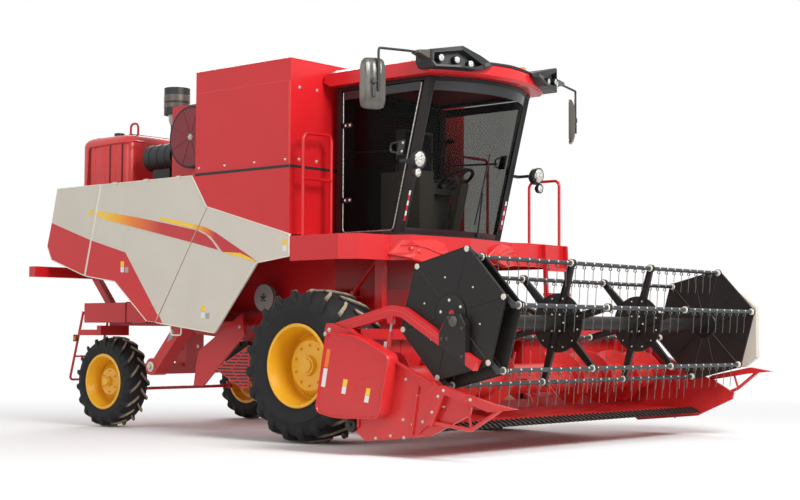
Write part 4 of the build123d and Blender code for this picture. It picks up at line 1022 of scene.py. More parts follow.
for side in (-1, 1):
    for x, y, z in ROOF_LAMPS:
        front = (x + 0.062, side * (y + 0.012), z - 0.006)
        ahead = (x + 0.62, side * (y + 0.12), z - 0.06)
        turned(rings, [(0.0355, -0.022), (0.0390, -0.018), (0.0395, 0.004), (0.0345, 0.006),
                       (0.0335, 0.001)], front, ahead, 28)
        turned(lenses, [(0.0338, 0.0015), (0.0310, 0.0035), (0.020, 0.0062), (0.001, 0.0075)], front,
               ahead, 28)
    for dy, dz, r in ((1.012, 2.862, 0.078), (1.040, 2.722, 0.042)):
        turned(rings, [(r * 0.9, -0.050), (r + 0.010, -0.030), (r + 0.012, 0.004), (r + 0.004, 0.008),
                       (r, 0.003)], (1.012, side * dy, dz), (2.0, side * dy, dz - 0.12), 32)
    turned(lenses, [(0.0775, 0.0035), (0.072, 0.010), (0.045, 0.018), (0.001, 0.022)],
           (1.012, side * 1.012, 2.862), (2.0, side * 1.012, 2.742), 32)
    turned(lenses, [(0.0415, 0.0035), (0.037, 0.008), (0.022, 0.012), (0.001, 0.014)],
           (1.012, side * 1.040, 2.722), (2.0, side * 1.040, 2.602), 28)
piece("lamp_rings", rings, dark_plastic, "root")
piece("lamp_lenses", lenses, lamp_glass, "root")
beacon_x, beacon_y = 1.010, 0.700
build = bmesh.new()
turned(build, [(0.0440, 0.0), (0.0465, 0.004), (0.0465, 0.050), (0.0420, 0.056), (0.001, 0.0575)],
       (beacon_x, beacon_y, 3.974), (beacon_x, beacon_y, 4.5), 32)
piece("beacon_cap", build, amber, "root")
build = bmesh.new()
for side in (-1, 1):
    bent_bar(build, [(0.985, side * 1.000, 2.800), (0.985, side * 1.030, 2.750),
                     (1.000, side * 1.040, 2.730)], 0.014, 0.02)
    bent_bar(build, [(0.985, side * 0.990, 2.790), (1.020, side * 0.950, 2.790),
                     (1.020, side * 0.945, 2.930), (0.985, side * 0.990, 2.945)], 0.005, 0.02, 6)
turned(build, [(0.0500, 0.0), (0.0500, 0.030), (0.0450, 0.034)], (beacon_x, beacon_y, 3.942),
       (beacon_x, beacon_y, 4.5), 28)
piece("lamp_brackets", build, dark_plastic, "root")

# Roof trim and mirrors: a dark moulded strip along the roof's front edge, wedge shaped arm mounts,
# and mirror shells in a bronze-grey that is partly the plastic's tone and partly painted sheen,
# turned toward the driver and clamped on bent tubes.
# Warm bronze-grey: partly the plastic's own tone, partly painted sheen on dark plastic.
bronze_plastic_and_sheen = paint("bronze_plastic_and_sheen", (0.062, 0.055, 0.044), roughness=0.30, coat=0.3, bump=0.03,
                       scale=60.0, dust=0.0)
ROOF_HALF, ROOF_NOSE, ROOF_CORNER = 0.970, 1.420, 1.100


def roof_front(y):
    """How far forward the roof's bowed front edge reaches at a distance from the middle."""
    return ROOF_NOSE - (ROOF_NOSE - ROOF_CORNER) * (y / ROOF_HALF) ** 2


build = bmesh.new()
strip = []
for k in range(25):
    y = -0.40 + 1.06 * k / 24
    strip.append((roof_front(y) - 0.022, y, 3.8745 + 0.025 * (1 - abs(y) / 0.88)))
bent_bar(build, strip, 0.017, 0.02, 8)
piece("roof_edge_strip", build, dark_plastic, "root")
for side, hand in ((-1, "right"), (1, "left")):
    build = bmesh.new()
    prism(build, [(1.210, side * 1.082, 3.845), (1.210, side * 1.082, 3.945), (1.205, side * 1.240, 3.922),
                  (1.205, side * 1.250, 3.890)], (-0.110, 0, 0))
    piece(f"mirror_mount_{hand}", build, bronze_plastic_and_sheen, "root", bevel=0.008)
    axle = at(0.988, side * 1.690, 3.545)
    swing = Matrix.Rotation(side * math.radians(33), 4, "Z")
    turn_in = Matrix.Translation(axle) @ swing @ Matrix.Translation(-axle)
    build = bmesh.new()
    count = 20
    grid = []
    for i in range(count + 1):
        row = []
        for j in range(count + 1):
            u, v = 2 * i / count - 1, 2 * j / count - 1
            reach = (abs(u) ** 5 + abs(v) ** 5) ** 0.2
            square = max(abs(u), abs(v))
            scale_in = square / reach if reach else 1.0
            uu, vv = u * scale_in, v * scale_in
            ridge = 0.012 * max(0.0, 1 - abs(abs(uu) - 0.62) * 4.2) + 0.008 * max(0.0, 1 - abs(uu) * 3.2)
            dome = 0.036 * (1 - square ** 4)
            row.append(build.verts.new(at(0.985 + dome + ridge * (1 - square ** 6),
                                          side * (1.690 + 0.128 * uu), 3.545 + 0.252 * vv)))
        grid.append(row)
    join_rings(build, grid, around=False)
    shell_rim = ([grid[0][j] for j in range(count)] + [grid[i][count] for i in range(count)]
                 + [grid[count][j] for j in range(count, 0, -1)]
                 + [grid[i][0] for i in range(count, 0, -1)])
    behind = [build.verts.new(vert.co + Vector((-0.030, 0, 0))) for vert in shell_rim]
    join_rings(build, [shell_rim, behind])
    build.faces.new(behind)
    bmesh.ops.transform(build, matrix=turn_in, verts=build.verts)
    shell = piece(f"mirror_shell_{hand}", build, bronze_plastic_and_sheen, "root")
    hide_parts("mirrors")
    build = bmesh.new()
    turned(build, [(0.030, 0.0), (0.030, 0.020), (0.024, 0.026), (0.001, 0.027)],
           (1.024, side * 1.690, 3.560), (3.0, side * 1.690, 3.560), 20)
    prism(build, [(1.022, side * 1.668, 3.520), (1.022, side * 1.712, 3.520), (1.022, side * 1.705, 3.410),
                  (1.022, side * 1.675, 3.410)], (0.022, 0, 0))
    bmesh.ops.transform(build, matrix=turn_in, verts=build.verts)
    bent_bar(build, [(1.130, side * 0.960, 3.905), (1.130, side * 1.300, 3.905),
                     (1.052, side * 1.672, 3.890), (1.048, side * 1.676, 3.860),
                     (1.048, side * 1.676, 3.470)], 0.0125, 0.05, 12)
    bent_bar(build, [(1.048, side * 1.676, 3.560), (0.990, side * 1.690, 3.560)], 0.016, 0.02, 12)
    piece(f"mirror_clamp_{hand}", build, dark_plastic, "root", bevel=0.002)
    build = bmesh.new()
    prism(build, [(0.9550, side * 1.576, 3.315), (0.9550, side * 1.804, 3.315),
                  (0.9550, side * 1.804, 3.775), (0.9550, side * 1.576, 3.775)], (0.006, 0, 0))
    bmesh.ops.transform(build, matrix=turn_in, verts=build.verts)
    glass = paint(f"mirror_glass_{hand}", (0.75, 0.77, 0.78), roughness=0.12, coat=0.0, dust=0.0,
                  bump=0.002)
    glass.node_tree.nodes["Principled BSDF"].inputs["Metallic"].default_value = 1.0
    piece(f"mirror_face_{hand}", build, glass, "root", smooth=False)

# Cab roof: one moulded shell, bowed forward over the windscreen and crowned from side to side,
# painted red; the glass below it bulges out with it, and a curved black rail closes the joint.


def roof_height(x, y):
    """The roof's top: level over the cab, falling to the front lip and crowned to the sides."""
    crown = 3.925 + 0.025 * (1 - min(1.0, abs(y) / 0.88)) - max(0.0, abs(y) - 0.88) * 0.5
    return crown if x < 0.880 else crown - (x - 0.880) * 0.130


build = bmesh.new()
rows = []
for k in range(33):
    y = ROOF_HALF * math.sin(math.pi / 2 * (k - 16) / 16)
    nose = roof_front(y)
    profile = [(-0.300, 3.740), (-0.395, 3.790), (-0.365, roof_height(0, y) - 0.03),
               (-0.340, roof_height(0, y))]
    profile += [(x, roof_height(x, y)) for x in (0.3, 0.880, 0.5 * (0.880 + nose), nose - 0.02)]
    profile += [(nose, roof_height(nose, y) - 0.016), (nose + 0.004, 3.768), (nose - 0.030, 3.740)]
    rows.append([build.verts.new(at(x, y, z)) for x, z in profile])
join_rings(build, rows, ends=True)
roof = piece("roof_shell", build, red_paint, "root", bevel=0.006)
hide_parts("cab_roof")
build = bmesh.new()
rows = []
for k in range(25):
    y = -GLASS_HALF + 2 * GLASS_HALF * k / 24
    heights = (2.1503, 2.60, 3.15, 3.6995)
    faces = [(z, 0.0) for z in heights] + [(z, -0.012) for z in heights[::-1]]
    rows.append([build.verts.new(at(*screen_point(y, z, out))) for z, out in faces])
join_rings(build, rows, ends=True)
plate(build, [(-0.292, 2.900), (-0.278, 2.900), (-0.278, 3.560), (-0.292, 3.560)], -0.600, 0.600)
pane = piece("windscreen_and_rear_window", build, tinted_glass, "root")
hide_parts("cab_glass")
build = bmesh.new()
rows = []
for k in range(25):
    y = -0.84 + 1.68 * k / 24
    edge = screen_point(max(-0.779, min(0.779, y)), GLASS_HEAD, 0.0)[0]
    profile = [(edge + 0.012, 3.692), (edge + 0.016, 3.741), (0.90, 3.741), (0.90, GLASS_HEAD),
               (edge - 0.030, GLASS_HEAD)]
    rows.append([build.verts.new(at(x, y, z)) for x, z in profile])
join_rings(build, rows, ends=True)
piece("windscreen_head_rail", build, black_paint, "root")

# Lamp pods: peaked black plastic brows bolted to the roof's front corners, hollow in front,
# with the lamps' round bodies standing in the hollow; small brackets hold the pillar lamps.
POD_PLAN = [(1.420, 0.340), (1.450, 0.420), (1.400, 0.820), (1.215, 1.080)]
POD_OUTER = [(0.340, 3.850), (0.600, 3.778), (1.040, 3.775), (1.080, 3.830), (1.080, 3.950),
             (0.800, 4.000), (0.340, 3.875)]
POD_HOLLOW = [(0.520, 3.842), (0.640, 3.800), (1.030, 3.800), (1.055, 3.830), (1.052, 3.915),
              (0.800, 3.955)]


def plan_front(plan, y):
    """How far forward a front given in plan as (forward, sideways) points reaches at a distance y."""
    for (x0, y0), (x1, y1) in zip(plan, plan[1:]):
        if y <= y1:
            return x0 + (x1 - x0) * (max(y, y0) - y0) / (y1 - y0)
    return plan[-1][0]


def ray_to_edge(outline, centre, turn):
    """Where a ray from the centre crosses an outline."""
    way = Vector((math.cos(turn), math.sin(turn)))
    best = None
    for (y0, z0), (y1, z1) in zip(outline, outline[1:] + outline[:1]):
        a, b = Vector((y0, z0)) - Vector(centre), Vector((y1, z1)) - Vector(centre)
        cross_a, cross_b = way.x * a.y - way.y * a.x, way.x * b.y - way.y * b.x
        if cross_a * cross_b <= 0 and cross_a != cross_b:
            hit = a.lerp(b, cross_a / (cross_a - cross_b))
            if hit.dot(way) > 0 and (best is None or hit.length > best.length):
                best = hit
    return (centre[0] + best.x, centre[1] + best.y)


pod_build, lamp_build = bmesh.new(), bmesh.new()
for side in (-1, 1):
    centre = (0.800, 3.868)
    loops = [[], [], [], [], []]
    turns = sorted([math.atan2(z - centre[1], y - centre[0]) for y, z in POD_OUTER + POD_HOLLOW]
                   + [2 * math.pi * k / 24 - math.pi + 0.01 for k in range(24)])
    for turn in turns:
        y, z = ray_to_edge(POD_OUTER, centre, turn)
        back = 1.010 if y > 0.50 else 1.010 + (0.50 - y) / 0.16 * 0.41
        loops[0].append(pod_build.verts.new(at(back, side * y, z)))
        loops[1].append(pod_build.verts.new(at(plan_front(POD_PLAN, y) - 0.006, side * y, z)))
        y_in, z_in = centre[0] + (y - centre[0]) * 0.985, centre[1] + (z - centre[1]) * 0.97
        loops[2].append(pod_build.verts.new(at(plan_front(POD_PLAN, y_in), side * y_in, z_in)))
        y, z = ray_to_edge(POD_HOLLOW, centre, turn)
        loops[3].append(pod_build.verts.new(at(plan_front(POD_PLAN, y) - 0.002, side * y, z)))
        loops[4].append(pod_build.verts.new(at(plan_front(POD_PLAN, y) - 0.075, side * y, z)))
    join_rings(pod_build, loops, ends=True)
    for x, y, z in ROOF_LAMPS:
        turned(lamp_build, [(0.020, -0.03), (0.034, -0.01), (0.0355, 0.040)], (x, side * y, z),
               (x + 0.62, side * (y + 0.12), z - 0.06), 28)
    turned(lamp_build, [(0.030, -0.012), (0.070, 0.0), (0.090, 0.024), (0.092, 0.070), (0.088, 0.082),
                        (0.060, 0.084)], (0.930, side * 1.000, 2.860), (1.930, side * 1.000, 2.735), 36)
    plate(lamp_build, [(0.730, 2.850), (0.770, 2.850), (0.770, 2.880), (0.730, 2.880)], side * 0.850,
          side * 0.990)
    plate(lamp_build, [(0.730, 2.850), (0.940, 2.850), (0.940, 2.880), (0.730, 2.880)], side * 0.975,
          side * 1.005)
turned(lamp_build, [(0.045, 0.0), (0.045, 0.088)], (beacon_x, beacon_y, 3.890), (beacon_x, beacon_y, 5), 28)
pods = piece("roof_lamp_pods", pod_build, dark_plastic, "root", bevel=0.003)
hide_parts("work_lamps")
piece("lamp_bodies", lamp_build, dark_plastic, "root")
# The pods' inner tips take the bronze-grey, partly painted sheen.
build = bmesh.new()
for side in (-1, 1):
    prism(build, [(1.4475, side * 0.425, 3.846), (1.4475, side * 0.510, 3.820),
                  (1.4475, side * 0.510, 3.858), (1.4475, side * 0.425, 3.880)], (0.004, 0, 0))
piece("pod_inner_tips", build, bronze_plastic_and_sheen, "root", smooth=False)

# Feeder house: a welded box of red sheet that carries the header under the platform; straw
# dust has settled on its top sheet.
feeder_red = paint("feeder_red", (0.56, 0.009, 0.013), coat=0.05, settled=1.3)
frame["nodes"]["feeder_house"].data.materials.clear()
frame["nodes"]["feeder_house"].data.materials.append(feeder_red)

# Header: a trough of pressed sheet between two end sheets, with a back wall, a top beam and
# ears for the reel arms, welded and painted red; the feeder's mouth is open in the back wall.
BACK, HALF, SHEET_Y = (1.180, 1.215), 2.280, 2.310
AUGER_X, AUGER_Z = 1.620, 0.655
TROUGH = [(1.215, 0.560), (1.290, 0.430), (1.400, 0.345), (1.540, 0.300), (1.700, 0.290), (1.900, 0.300),
          (2.190, 0.262), (2.190, 0.240), (1.900, 0.275), (1.700, 0.262), (1.530, 0.272), (1.385, 0.318),
          (1.270, 0.405), (1.180, 0.540)]
MOUTH_TROUGH = [(1.300, 0.4225)] + TROUGH[2:13] + [(1.300, 0.382)]
END_SHEET = [(1.180, 1.150), (1.300, 1.150), (1.749, 0.906), (2.541, 0.568), (2.720, 0.470),
             (2.700, 0.400), (2.260, 0.205), (1.487, 0.130), (1.250, 0.300), (1.180, 0.540)]
EAR = [(0.930, 1.080), (1.090, 1.080), (1.200, 1.000), (1.200, 1.150), (1.050, 1.200), (0.970, 1.200)]
SHIELD = [(1.109, 1.119), (0.975, 0.377), (1.230, 0.330), (1.773, 0.339), (1.900, 0.907), (1.500, 1.080)]
build = bmesh.new()
for y0, y1 in ((-HALF, -0.430), (0.430, HALF)):
    plate(build, [(BACK[0], 0.540), (BACK[1], 0.540), (BACK[1], 1.080), (BACK[0], 1.080)], y0, y1)
    plate(build, TROUGH, y0, y1)
plate(build, [(BACK[0], 1.034), (BACK[1], 1.034), (BACK[1], 1.080), (BACK[0], 1.080)], -0.430, 0.430)
plate(build, MOUTH_TROUGH, -0.430, 0.430)
plate(build, [(1.180, 1.050), (1.300, 1.050), (1.300, 1.150), (1.180, 1.150)], -2.175, 2.175)
for k in range(9):
    y = -2.0 + 0.5 * k
    if abs(y) > 0.45:
        plate(build, [(1.2150, 0.60), (1.2210, 0.62), (1.2210, 1.02), (1.2150, 1.04)], y - 0.02, y + 0.02)
for side in (-1, 1):
    plate(build, END_SHEET, side * HALF, side * SHEET_Y)
    for y in (2.175, 2.275):
        plate(build, EAR, side * y, side * (y + 0.020))
    turned(build, [(0.020, 0.0), (0.020, 0.120)], (1.010, side * 2.175, 1.138), (1.010, side * 9, 1.138),
           20)
    turned(build, [(0.015, 0.0), (0.015, 0.068)], (1.660, side * 2.217, 0.800), (1.660, side * 9, 0.800),
           16)
    turned(build, [(0.030, 0.0), (0.030, 0.135)], (AUGER_X, side * 2.150, AUGER_Z),
           (AUGER_X, side * 9, AUGER_Z), 20)
    plate(build, [(1.300, 1.150), (1.749, 0.906), (2.300, 0.671), (2.300, 0.661), (1.744, 0.896),
                  (1.300, 1.140)], side * SHEET_Y, side * 2.344)
    for x0, z0, x1, z1 in ((1.400, 0.250, 1.420, 0.880), (2.050, 0.205, 2.120, 0.640),
                           (2.120, 0.225, 2.420, 0.440)):
        plate(build, [(x0, z0), (x0 + 0.022, z0), (x1 + 0.022, z1), (x1, z1)], side * SHEET_Y, side * 2.328)
frame_piece = piece("header_weldment", build, red_paint, "header", smooth=False, bevel=0.0025)
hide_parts("header_frame")

# Drive shield: one pressed sheet on the right end with rolled corners and a folded rim in a
# lighter red as a painted highlight, blank stick-on strips on its face and a faint arc pressed into it.
middle = Vector((sum(x for x, z in SHIELD) / len(SHIELD), sum(z for x, z in SHIELD) / len(SHIELD)))
outline = [Vector(point) for point in eased_loop(SHIELD, 0.075)]
build = bmesh.new()
loops = []
for share, y in ((1.0, -SHEET_Y), (1.0, -2.444), (0.992, -2.4500), (0.968, -2.4500), (0.960, -2.4400),
                 (0.955, -2.4370)):
    drawn_in = [middle + (q - middle) * share for q in outline]
    loops.append([build.verts.new(at(p.x, y, p.y)) for p in drawn_in])
join_rings(build, loops, ends=True)
for k in range(2):
    r = 0.150 + 0.012 * k
    arc = [(1.640 + r * math.cos(turn), -2.4365, 0.560 + r * math.sin(turn))
           for turn in [math.radians(20 + 14 * step) for step in range(12)]]
    bent_bar(build, arc, 0.0022, 0.01, 6)
piece("drive_shield", build, red_paint, "header")
# The rim in the lighter red, a painted highlight.
build = bmesh.new()
rim_line = [(p.x, -2.4452, p.y) for p in [middle + (q - middle) * 0.985 for q in outline]]
wire(build, [at(*p) for p in rim_line + rim_line[:2]], 0.0045, 6)
piece("drive_shield_rim", build, lit_red, "header")
for k, (corners, material) in enumerate((
        ([(1.121, 0.962), (1.168, 0.957), (1.133, 0.790), (1.085, 0.795)], blank_orange),
        ([(1.083, 0.787), (1.131, 0.782), (1.098, 0.610), (1.048, 0.618)], blank_white),
        ([(1.335, 0.690), (1.388, 0.685), (1.371, 0.622), (1.320, 0.627)], stripe_tip),
        ([(1.320, 0.625), (1.371, 0.620), (1.355, 0.553), (1.307, 0.559)], blank_white),
        ([(1.621, 0.616), (1.668, 0.611), (1.654, 0.547), (1.604, 0.552)], stripe_tip),
        ([(1.604, 0.550), (1.654, 0.545), (1.640, 0.482), (1.588, 0.488)], blank_white))):
    build = bmesh.new()
    plate(build, corners, -2.4368, -2.4385)
    piece(f"shield_blank_strip_{k}", build, material, "header", smooth=False)
build = bmesh.new()
turned(build, [(0.062, 0.0), (0.062, 0.030), (0.052, 0.036), (0.020, 0.036), (0.020, 0.052),
               (0.001, 0.054)], (1.330, -SHEET_Y, 0.270), (1.330, -9, 0.270), 32)
plate(build, [(1.276, 0.330), (1.384, 0.330), (1.384, 0.225), (1.350, 0.200), (1.310, 0.200),
              (1.276, 0.225)], -SHEET_Y, -2.322)
piece("drive_hub", build, black_paint, "header")
build = bmesh.new()
for side in (-1, 1):
    for x, z in ((1.950, 0.340), (2.060, 0.300), (2.180, 0.330), (2.300, 0.400), (2.420, 0.470),
                 (1.980, 0.700), (2.120, 0.560), (1.800, 0.190), (1.620, 0.160), (1.960, 0.180),
                 (2.360, 0.560)):
        screw(build, (x, side * SHEET_Y, z), (x, side * 9, z), 0.009)
    for x, z in ((1.010, 1.138), (0.960, 1.100)):
        screw(build, (x, side * 2.295, z), (x, side * 9, z), 0.013)
piece("header_bolts", build, zinc_bolt, "header")

# Auger: a red steel tube with a welded helical flight from each end toward the feeder and
# sprung steel fingers between them.
build = bmesh.new()
auger_axis = at(AUGER_X, 0, AUGER_Z)
lathe(build, [(0.0305, -2.195), (0.150, -2.195), (0.150, 2.195), (0.0305, 2.195)], auger_axis, 56)
for side in (-1, 1):
    loops = []
    for k in range(100):
        share = k / 99
        turn, y = 2 * math.pi * 3.3 * share, side * (2.170 - 0.520 * 3.3 * share)
        section = ((0.145, y - 0.004), (0.280, y - 0.003), (0.280, y + 0.003), (0.145, y + 0.004))
        spots = [Vector((r * math.cos(turn), y_side, r * math.sin(turn))) for r, y_side in section]
        loops.append([build.verts.new(auger_axis + spot) for spot in spots])
    join_rings(build, loops, ends=True)
for k in range(12):
    turn, y = math.radians(75 * k), (k - 5.5) * 0.070
    foot, tip = (AUGER_X, y, AUGER_Z), (AUGER_X + math.cos(turn), y, AUGER_Z + math.sin(turn))
    turned(build, [(0.0085, 0.0), (0.0085, 0.262), (0.005, 0.278)], foot, tip, 10)
    turned(build, [(0.020, 0.146), (0.020, 0.156), (0.012, 0.160)], foot, tip, 14)
# The auger's tube and flights take the lighter red, painted light.
auger = piece("auger_flights", build, lit_red, "header_auger")
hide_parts("header_auger")

# Knife and dividers: dark forged guards on the cutter bar with toothed steel knife sections
# between them, and bolts where the divider is fixed; the reel's lift rams carry a blank white strip.
build = bmesh.new()
pitch = 0.0762
count = int(2 * (HALF - 0.040) / pitch)
for k in range(count):
    y = (k - count / 2) * pitch
    prism(build, [(2.236, y + 0.004, 0.2712), (2.236, y + pitch - 0.004, 0.2712),
                  (2.296, y + pitch / 2 + 0.006, 0.2712), (2.296, y + pitch / 2 - 0.006, 0.2712)],
          (0, 0, 0.004))
    turned(build, [(0.007, 0.0), (0.006, 0.004)], (2.212, y + pitch / 2, 0.270), (2.212, y + pitch / 2, 9),
           8)
piece("knife_sections", build, dark_bolt, "header", smooth=False)
build = bmesh.new()
for k in range(count + 1):
    y = (k - count / 2) * pitch
    plate(build, [(2.192, 0.2695), (2.192, 0.296), (2.232, 0.304), (2.290, 0.284), (2.350, 0.250),
                  (2.342, 0.244), (2.300, 0.256)], y - 0.0145, y + 0.0145)
    plate(build, [(2.196, 0.300), (2.212, 0.312), (2.226, 0.303)], y - 0.009, y + 0.009)
piece("knife_guards", build, black_paint, "header", smooth=False, bevel=0.002)
build = bmesh.new()
for x, z in ((2.330, 0.420), (2.400, 0.560), (2.460, 0.612), (2.760, 0.540)):
    screw(build, (x, -2.365, z), (x, -9, z), 0.009)
piece("divider_bolts", build, zinc_bolt, "header")
build = bmesh.new()
for side in (-1, 1):
    prism(build, [(1.664, side * 2.262, 0.960), (1.700, side * 2.262, 0.958), (1.706, side * 2.262, 1.030),
                  (1.672, side * 2.262, 1.034)], (0, side * 0.002, 0))
piece("ram_blank_strips", build, blank_white, "reel_lift_barrels", smooth=False)

# Platform trim: moulded plastic cheeks, painted red, with a swept ridge and two round buttons,
# screwed to each front corner of the fascia.
CHEEK = [(0.985, 1.925), (0.915, 2.062), (0.560, 2.084), (0.430, 2.040), (0.335, 1.950), (0.480, 1.885),
         (0.700, 1.836), (0.860, 1.862)]
RIDGE = [(0.930, 2.010), (0.900, 2.050), (0.700, 2.040), (0.500, 1.965), (0.450, 1.925), (0.520, 1.935),
         (0.700, 1.990)]
CHEEK_PLAN = [(0.838, 0.330), (0.862, 0.420), (0.785, 0.885), (0.566, 0.985)]
build = bmesh.new()
for side in (-1, 1):
    for outline, out, centre in ((CHEEK, 0.0, (0.700, 1.970)), (RIDGE, 0.013, (0.720, 2.012))):
        turns = sorted([math.atan2(z - centre[1], y - centre[0]) for y, z in outline]
                       + [2 * math.pi * k / 40 - math.pi + 0.013 for k in range(40)])
        loops = [[], [], []]
        for turn in turns:
            y, z = ray_to_edge(outline, centre, turn)
            loops[0].append(build.verts.new(at(plan_front(CHEEK_PLAN, y) - 0.070, side * y, z)))
            loops[1].append(build.verts.new(at(plan_front(CHEEK_PLAN, y) + out - 0.008, side * y, z)))
            y, z = centre[0] + (y - centre[0]) * 0.96, centre[1] + (z - centre[1]) * 0.92
            loops[2].append(build.verts.new(at(plan_front(CHEEK_PLAN, y) + out, side * y, z)))
        for share in (0.66, 0.33):
            loops.append([])
            for vert in loops[2]:
                y = centre[0] + (side * vert.co.y - centre[0]) * share
                z = centre[1] + (vert.co.z - centre[1]) * share
                loops[-1].append(build.verts.new(at(plan_front(CHEEK_PLAN, y) + out, side * y, z)))
        join_rings(build, loops)
        build.faces.new(loops[-1])
    for y, z in ((0.868, 1.972), (0.775, 1.950)):
        turned(build, [(0.026, -0.03), (0.025, 0.004), (0.016, 0.012), (0.001, 0.015)],
               (plan_front(CHEEK_PLAN, y), side * y, z),
               (plan_front(CHEEK_PLAN, y) + 1.0, side * (y + 0.25), z), 24)
# The cheeks take the lighter red, painted light.
piece("platform_cheeks", build, lit_red, "root")

# Reel: a black steel tube with pressed hexagon end plates and two spider wheels, welded up
# and painted; nylon rings at each bat seat carry the turning bat tubes.
bat_paint = paint("bat_paint", (0.020, 0.026, 0.030), roughness=0.36, dust=0.1, coat=0.1, shine=0.45)
spring_wire = paint("spring_wire", (0.075, 0.070, 0.064), roughness=0.40, dust=0.3, coat=0.0)
nylon_ring = paint("nylon_ring", (0.62, 0.58, 0.50), roughness=0.45, dust=0.2, coat=0.0)
REEL_X, REEL_Z, REEL_R, CORNER = 2.490, 1.212, 0.590, math.radians(73.7)
RING_X, RING_Z = REEL_X - 0.080, REEL_Z + 0.070
PLATE_Y, SPIDER_Y = 2.080, 0.700


def corner_at(k, x, z, r):
    """The kth corner (or a place between corners) of the hexagon about (x, z)."""
    turn = CORNER - math.radians(60 * k)
    return x + r * math.cos(turn), z + r * math.sin(turn)


def stud_circle(build, x, y, z, r, count, side, head, start=0.0):
    """Bolt heads on a circle, on a face that looks along the cross axis."""
    for k in range(count):
        turn = start + 2 * math.pi * k / count
        spot = (x + r * math.cos(turn), y, z + r * math.sin(turn))
        turned(build, [(head * 1.5, -0.001), (head * 1.5, 0.002), (head, 0.002), (head, 0.008),
                       (head * 0.6, 0.010)], spot, (spot[0], side * 9.0, spot[2]), 8)


reel_axis = at(REEL_X, 0, REEL_Z)
build, studs, rings = bmesh.new(), bmesh.new(), bmesh.new()
lathe(build, [(0.0001, -2.262), (0.030, -2.262), (0.030, -PLATE_Y), (0.070, -PLATE_Y), (0.070, PLATE_Y),
              (0.030, PLATE_Y), (0.030, 2.262), (0.0001, 2.262)], reel_axis, 48, closed=False)
edge = REEL_R + 0.030
flat = edge * math.cos(math.radians(30))
for side in (-1, 1):
    y_in, y_out = side * (PLATE_Y - 0.008), side * PLATE_Y
    plate(build, [corner_at(k, REEL_X, REEL_Z, REEL_R + 0.040) for k in range(6)], y_in, y_out)
    for y_face, lift in ((y_out, side), (y_in, -side)):
        for k in range(12):
            far, next_far = (flat, edge) if k % 2 else (edge, flat)
            x0, z0 = corner_at(k / 2, REEL_X, REEL_Z, 0.135)
            x1, z1 = corner_at(k / 2, REEL_X, REEL_Z, far)
            bent_bar(build, [(x0, y_face, z0), (x1, y_face, z1)], 0.005 if k % 2 else 0.0085, 0.01, 6)
            x0, z0 = corner_at(k / 2, REEL_X, REEL_Z, far * 0.995)
            x1, z1 = corner_at(k / 2 + 0.5, REEL_X, REEL_Z, next_far)
            bent_bar(build, [(x0, y_face, z0), (x1, y_face, z1)], 0.006, 0.01, 6)
        lathe(build, [(0.125, y_face), (0.133, y_face + lift * 0.007), (0.141, y_face)], reel_axis, 48)
    lathe(build, [(0.069, side * 2.045), (0.105, side * 2.045), (0.105, side * 2.097),
                  (0.069, side * 2.097)], reel_axis, 40)
    stud_circle(studs, REEL_X, side * 2.097, REEL_Z, 0.086, 6, side, 0.008)
    stud_circle(studs, REEL_X, side * 2.080, REEL_Z, 0.340, 6, side, 0.006, 0.4)
    middle = side * SPIDER_Y
    lathe(build, [(0.069, middle - 0.034), (0.105, middle - 0.034), (0.105, middle - 0.006),
                  (0.276, middle - 0.006), (0.280, middle - 0.009), (0.284, middle),
                  (0.280, middle + 0.009), (0.276, middle + 0.006), (0.105, middle + 0.006),
                  (0.105, middle + 0.034), (0.069, middle + 0.034)], reel_axis, 72)
    for face in (-1, 1):
        stud_circle(studs, REEL_X, middle + face * 0.034, REEL_Z, 0.088, 6, face, 0.007)
        stud_circle(studs, REEL_X, middle + face * 0.007, REEL_Z, 0.238, 12, face, 0.006, 0.26)
    for k in range(6):
        tip = corner_at(k, REEL_X, REEL_Z, REEL_R)
        way = Vector((tip[0] - REEL_X, tip[1] - REEL_Z)).normalized()
        beside = Vector((-way.y, way.x))
        hub = Vector((REEL_X, REEL_Z))
        outline = [hub + way * d + beside * w for d, w in ((0.075, 0.046), (0.575, 0.027), (0.575, -0.027),
                                                           (0.075, -0.046))]
        plate(build, [tuple(p) for p in outline], middle - 0.005, middle + 0.005)
        for w0, w1 in ((0.046, 0.027), (-0.046, -0.027)):
            near, far = hub + way * 0.075 + beside * w0, hub + way * 0.580 + beside * w1
            lean_in = -0.007 if w0 > 0 else 0.007
            near_in, far_in = near + beside * lean_in, far + beside * lean_in
            plate(build, [tuple(near), tuple(far), tuple(far_in), tuple(near_in)], middle - 0.018,
                  middle + 0.018)
        for y in (middle, side * (PLATE_Y - 0.004)):
            seat = at(tip[0], 0, tip[1])
            half = 0.021 if y == middle else 0.009
            lathe(build, [(0.0205, y - half), (0.040, y - half), (0.040, y + half), (0.0205, y + half)],
                  seat, 24)
            lathe(rings, [(0.0206, y - half - 0.006), (0.030, y - half - 0.006),
                          (0.035, y - half - 0.0005), (0.035, y + half + 0.0005),
                          (0.030, y + half + 0.006), (0.0206, y + half + 0.006)], seat, 24)
wheel = piece("reel_frame_steel", build, black_paint, "reel")
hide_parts("reel")
piece("reel_studs", studs, zinc_bolt, "reel")
piece("reel_bat_seats", rings, nylon_ring, "reel")

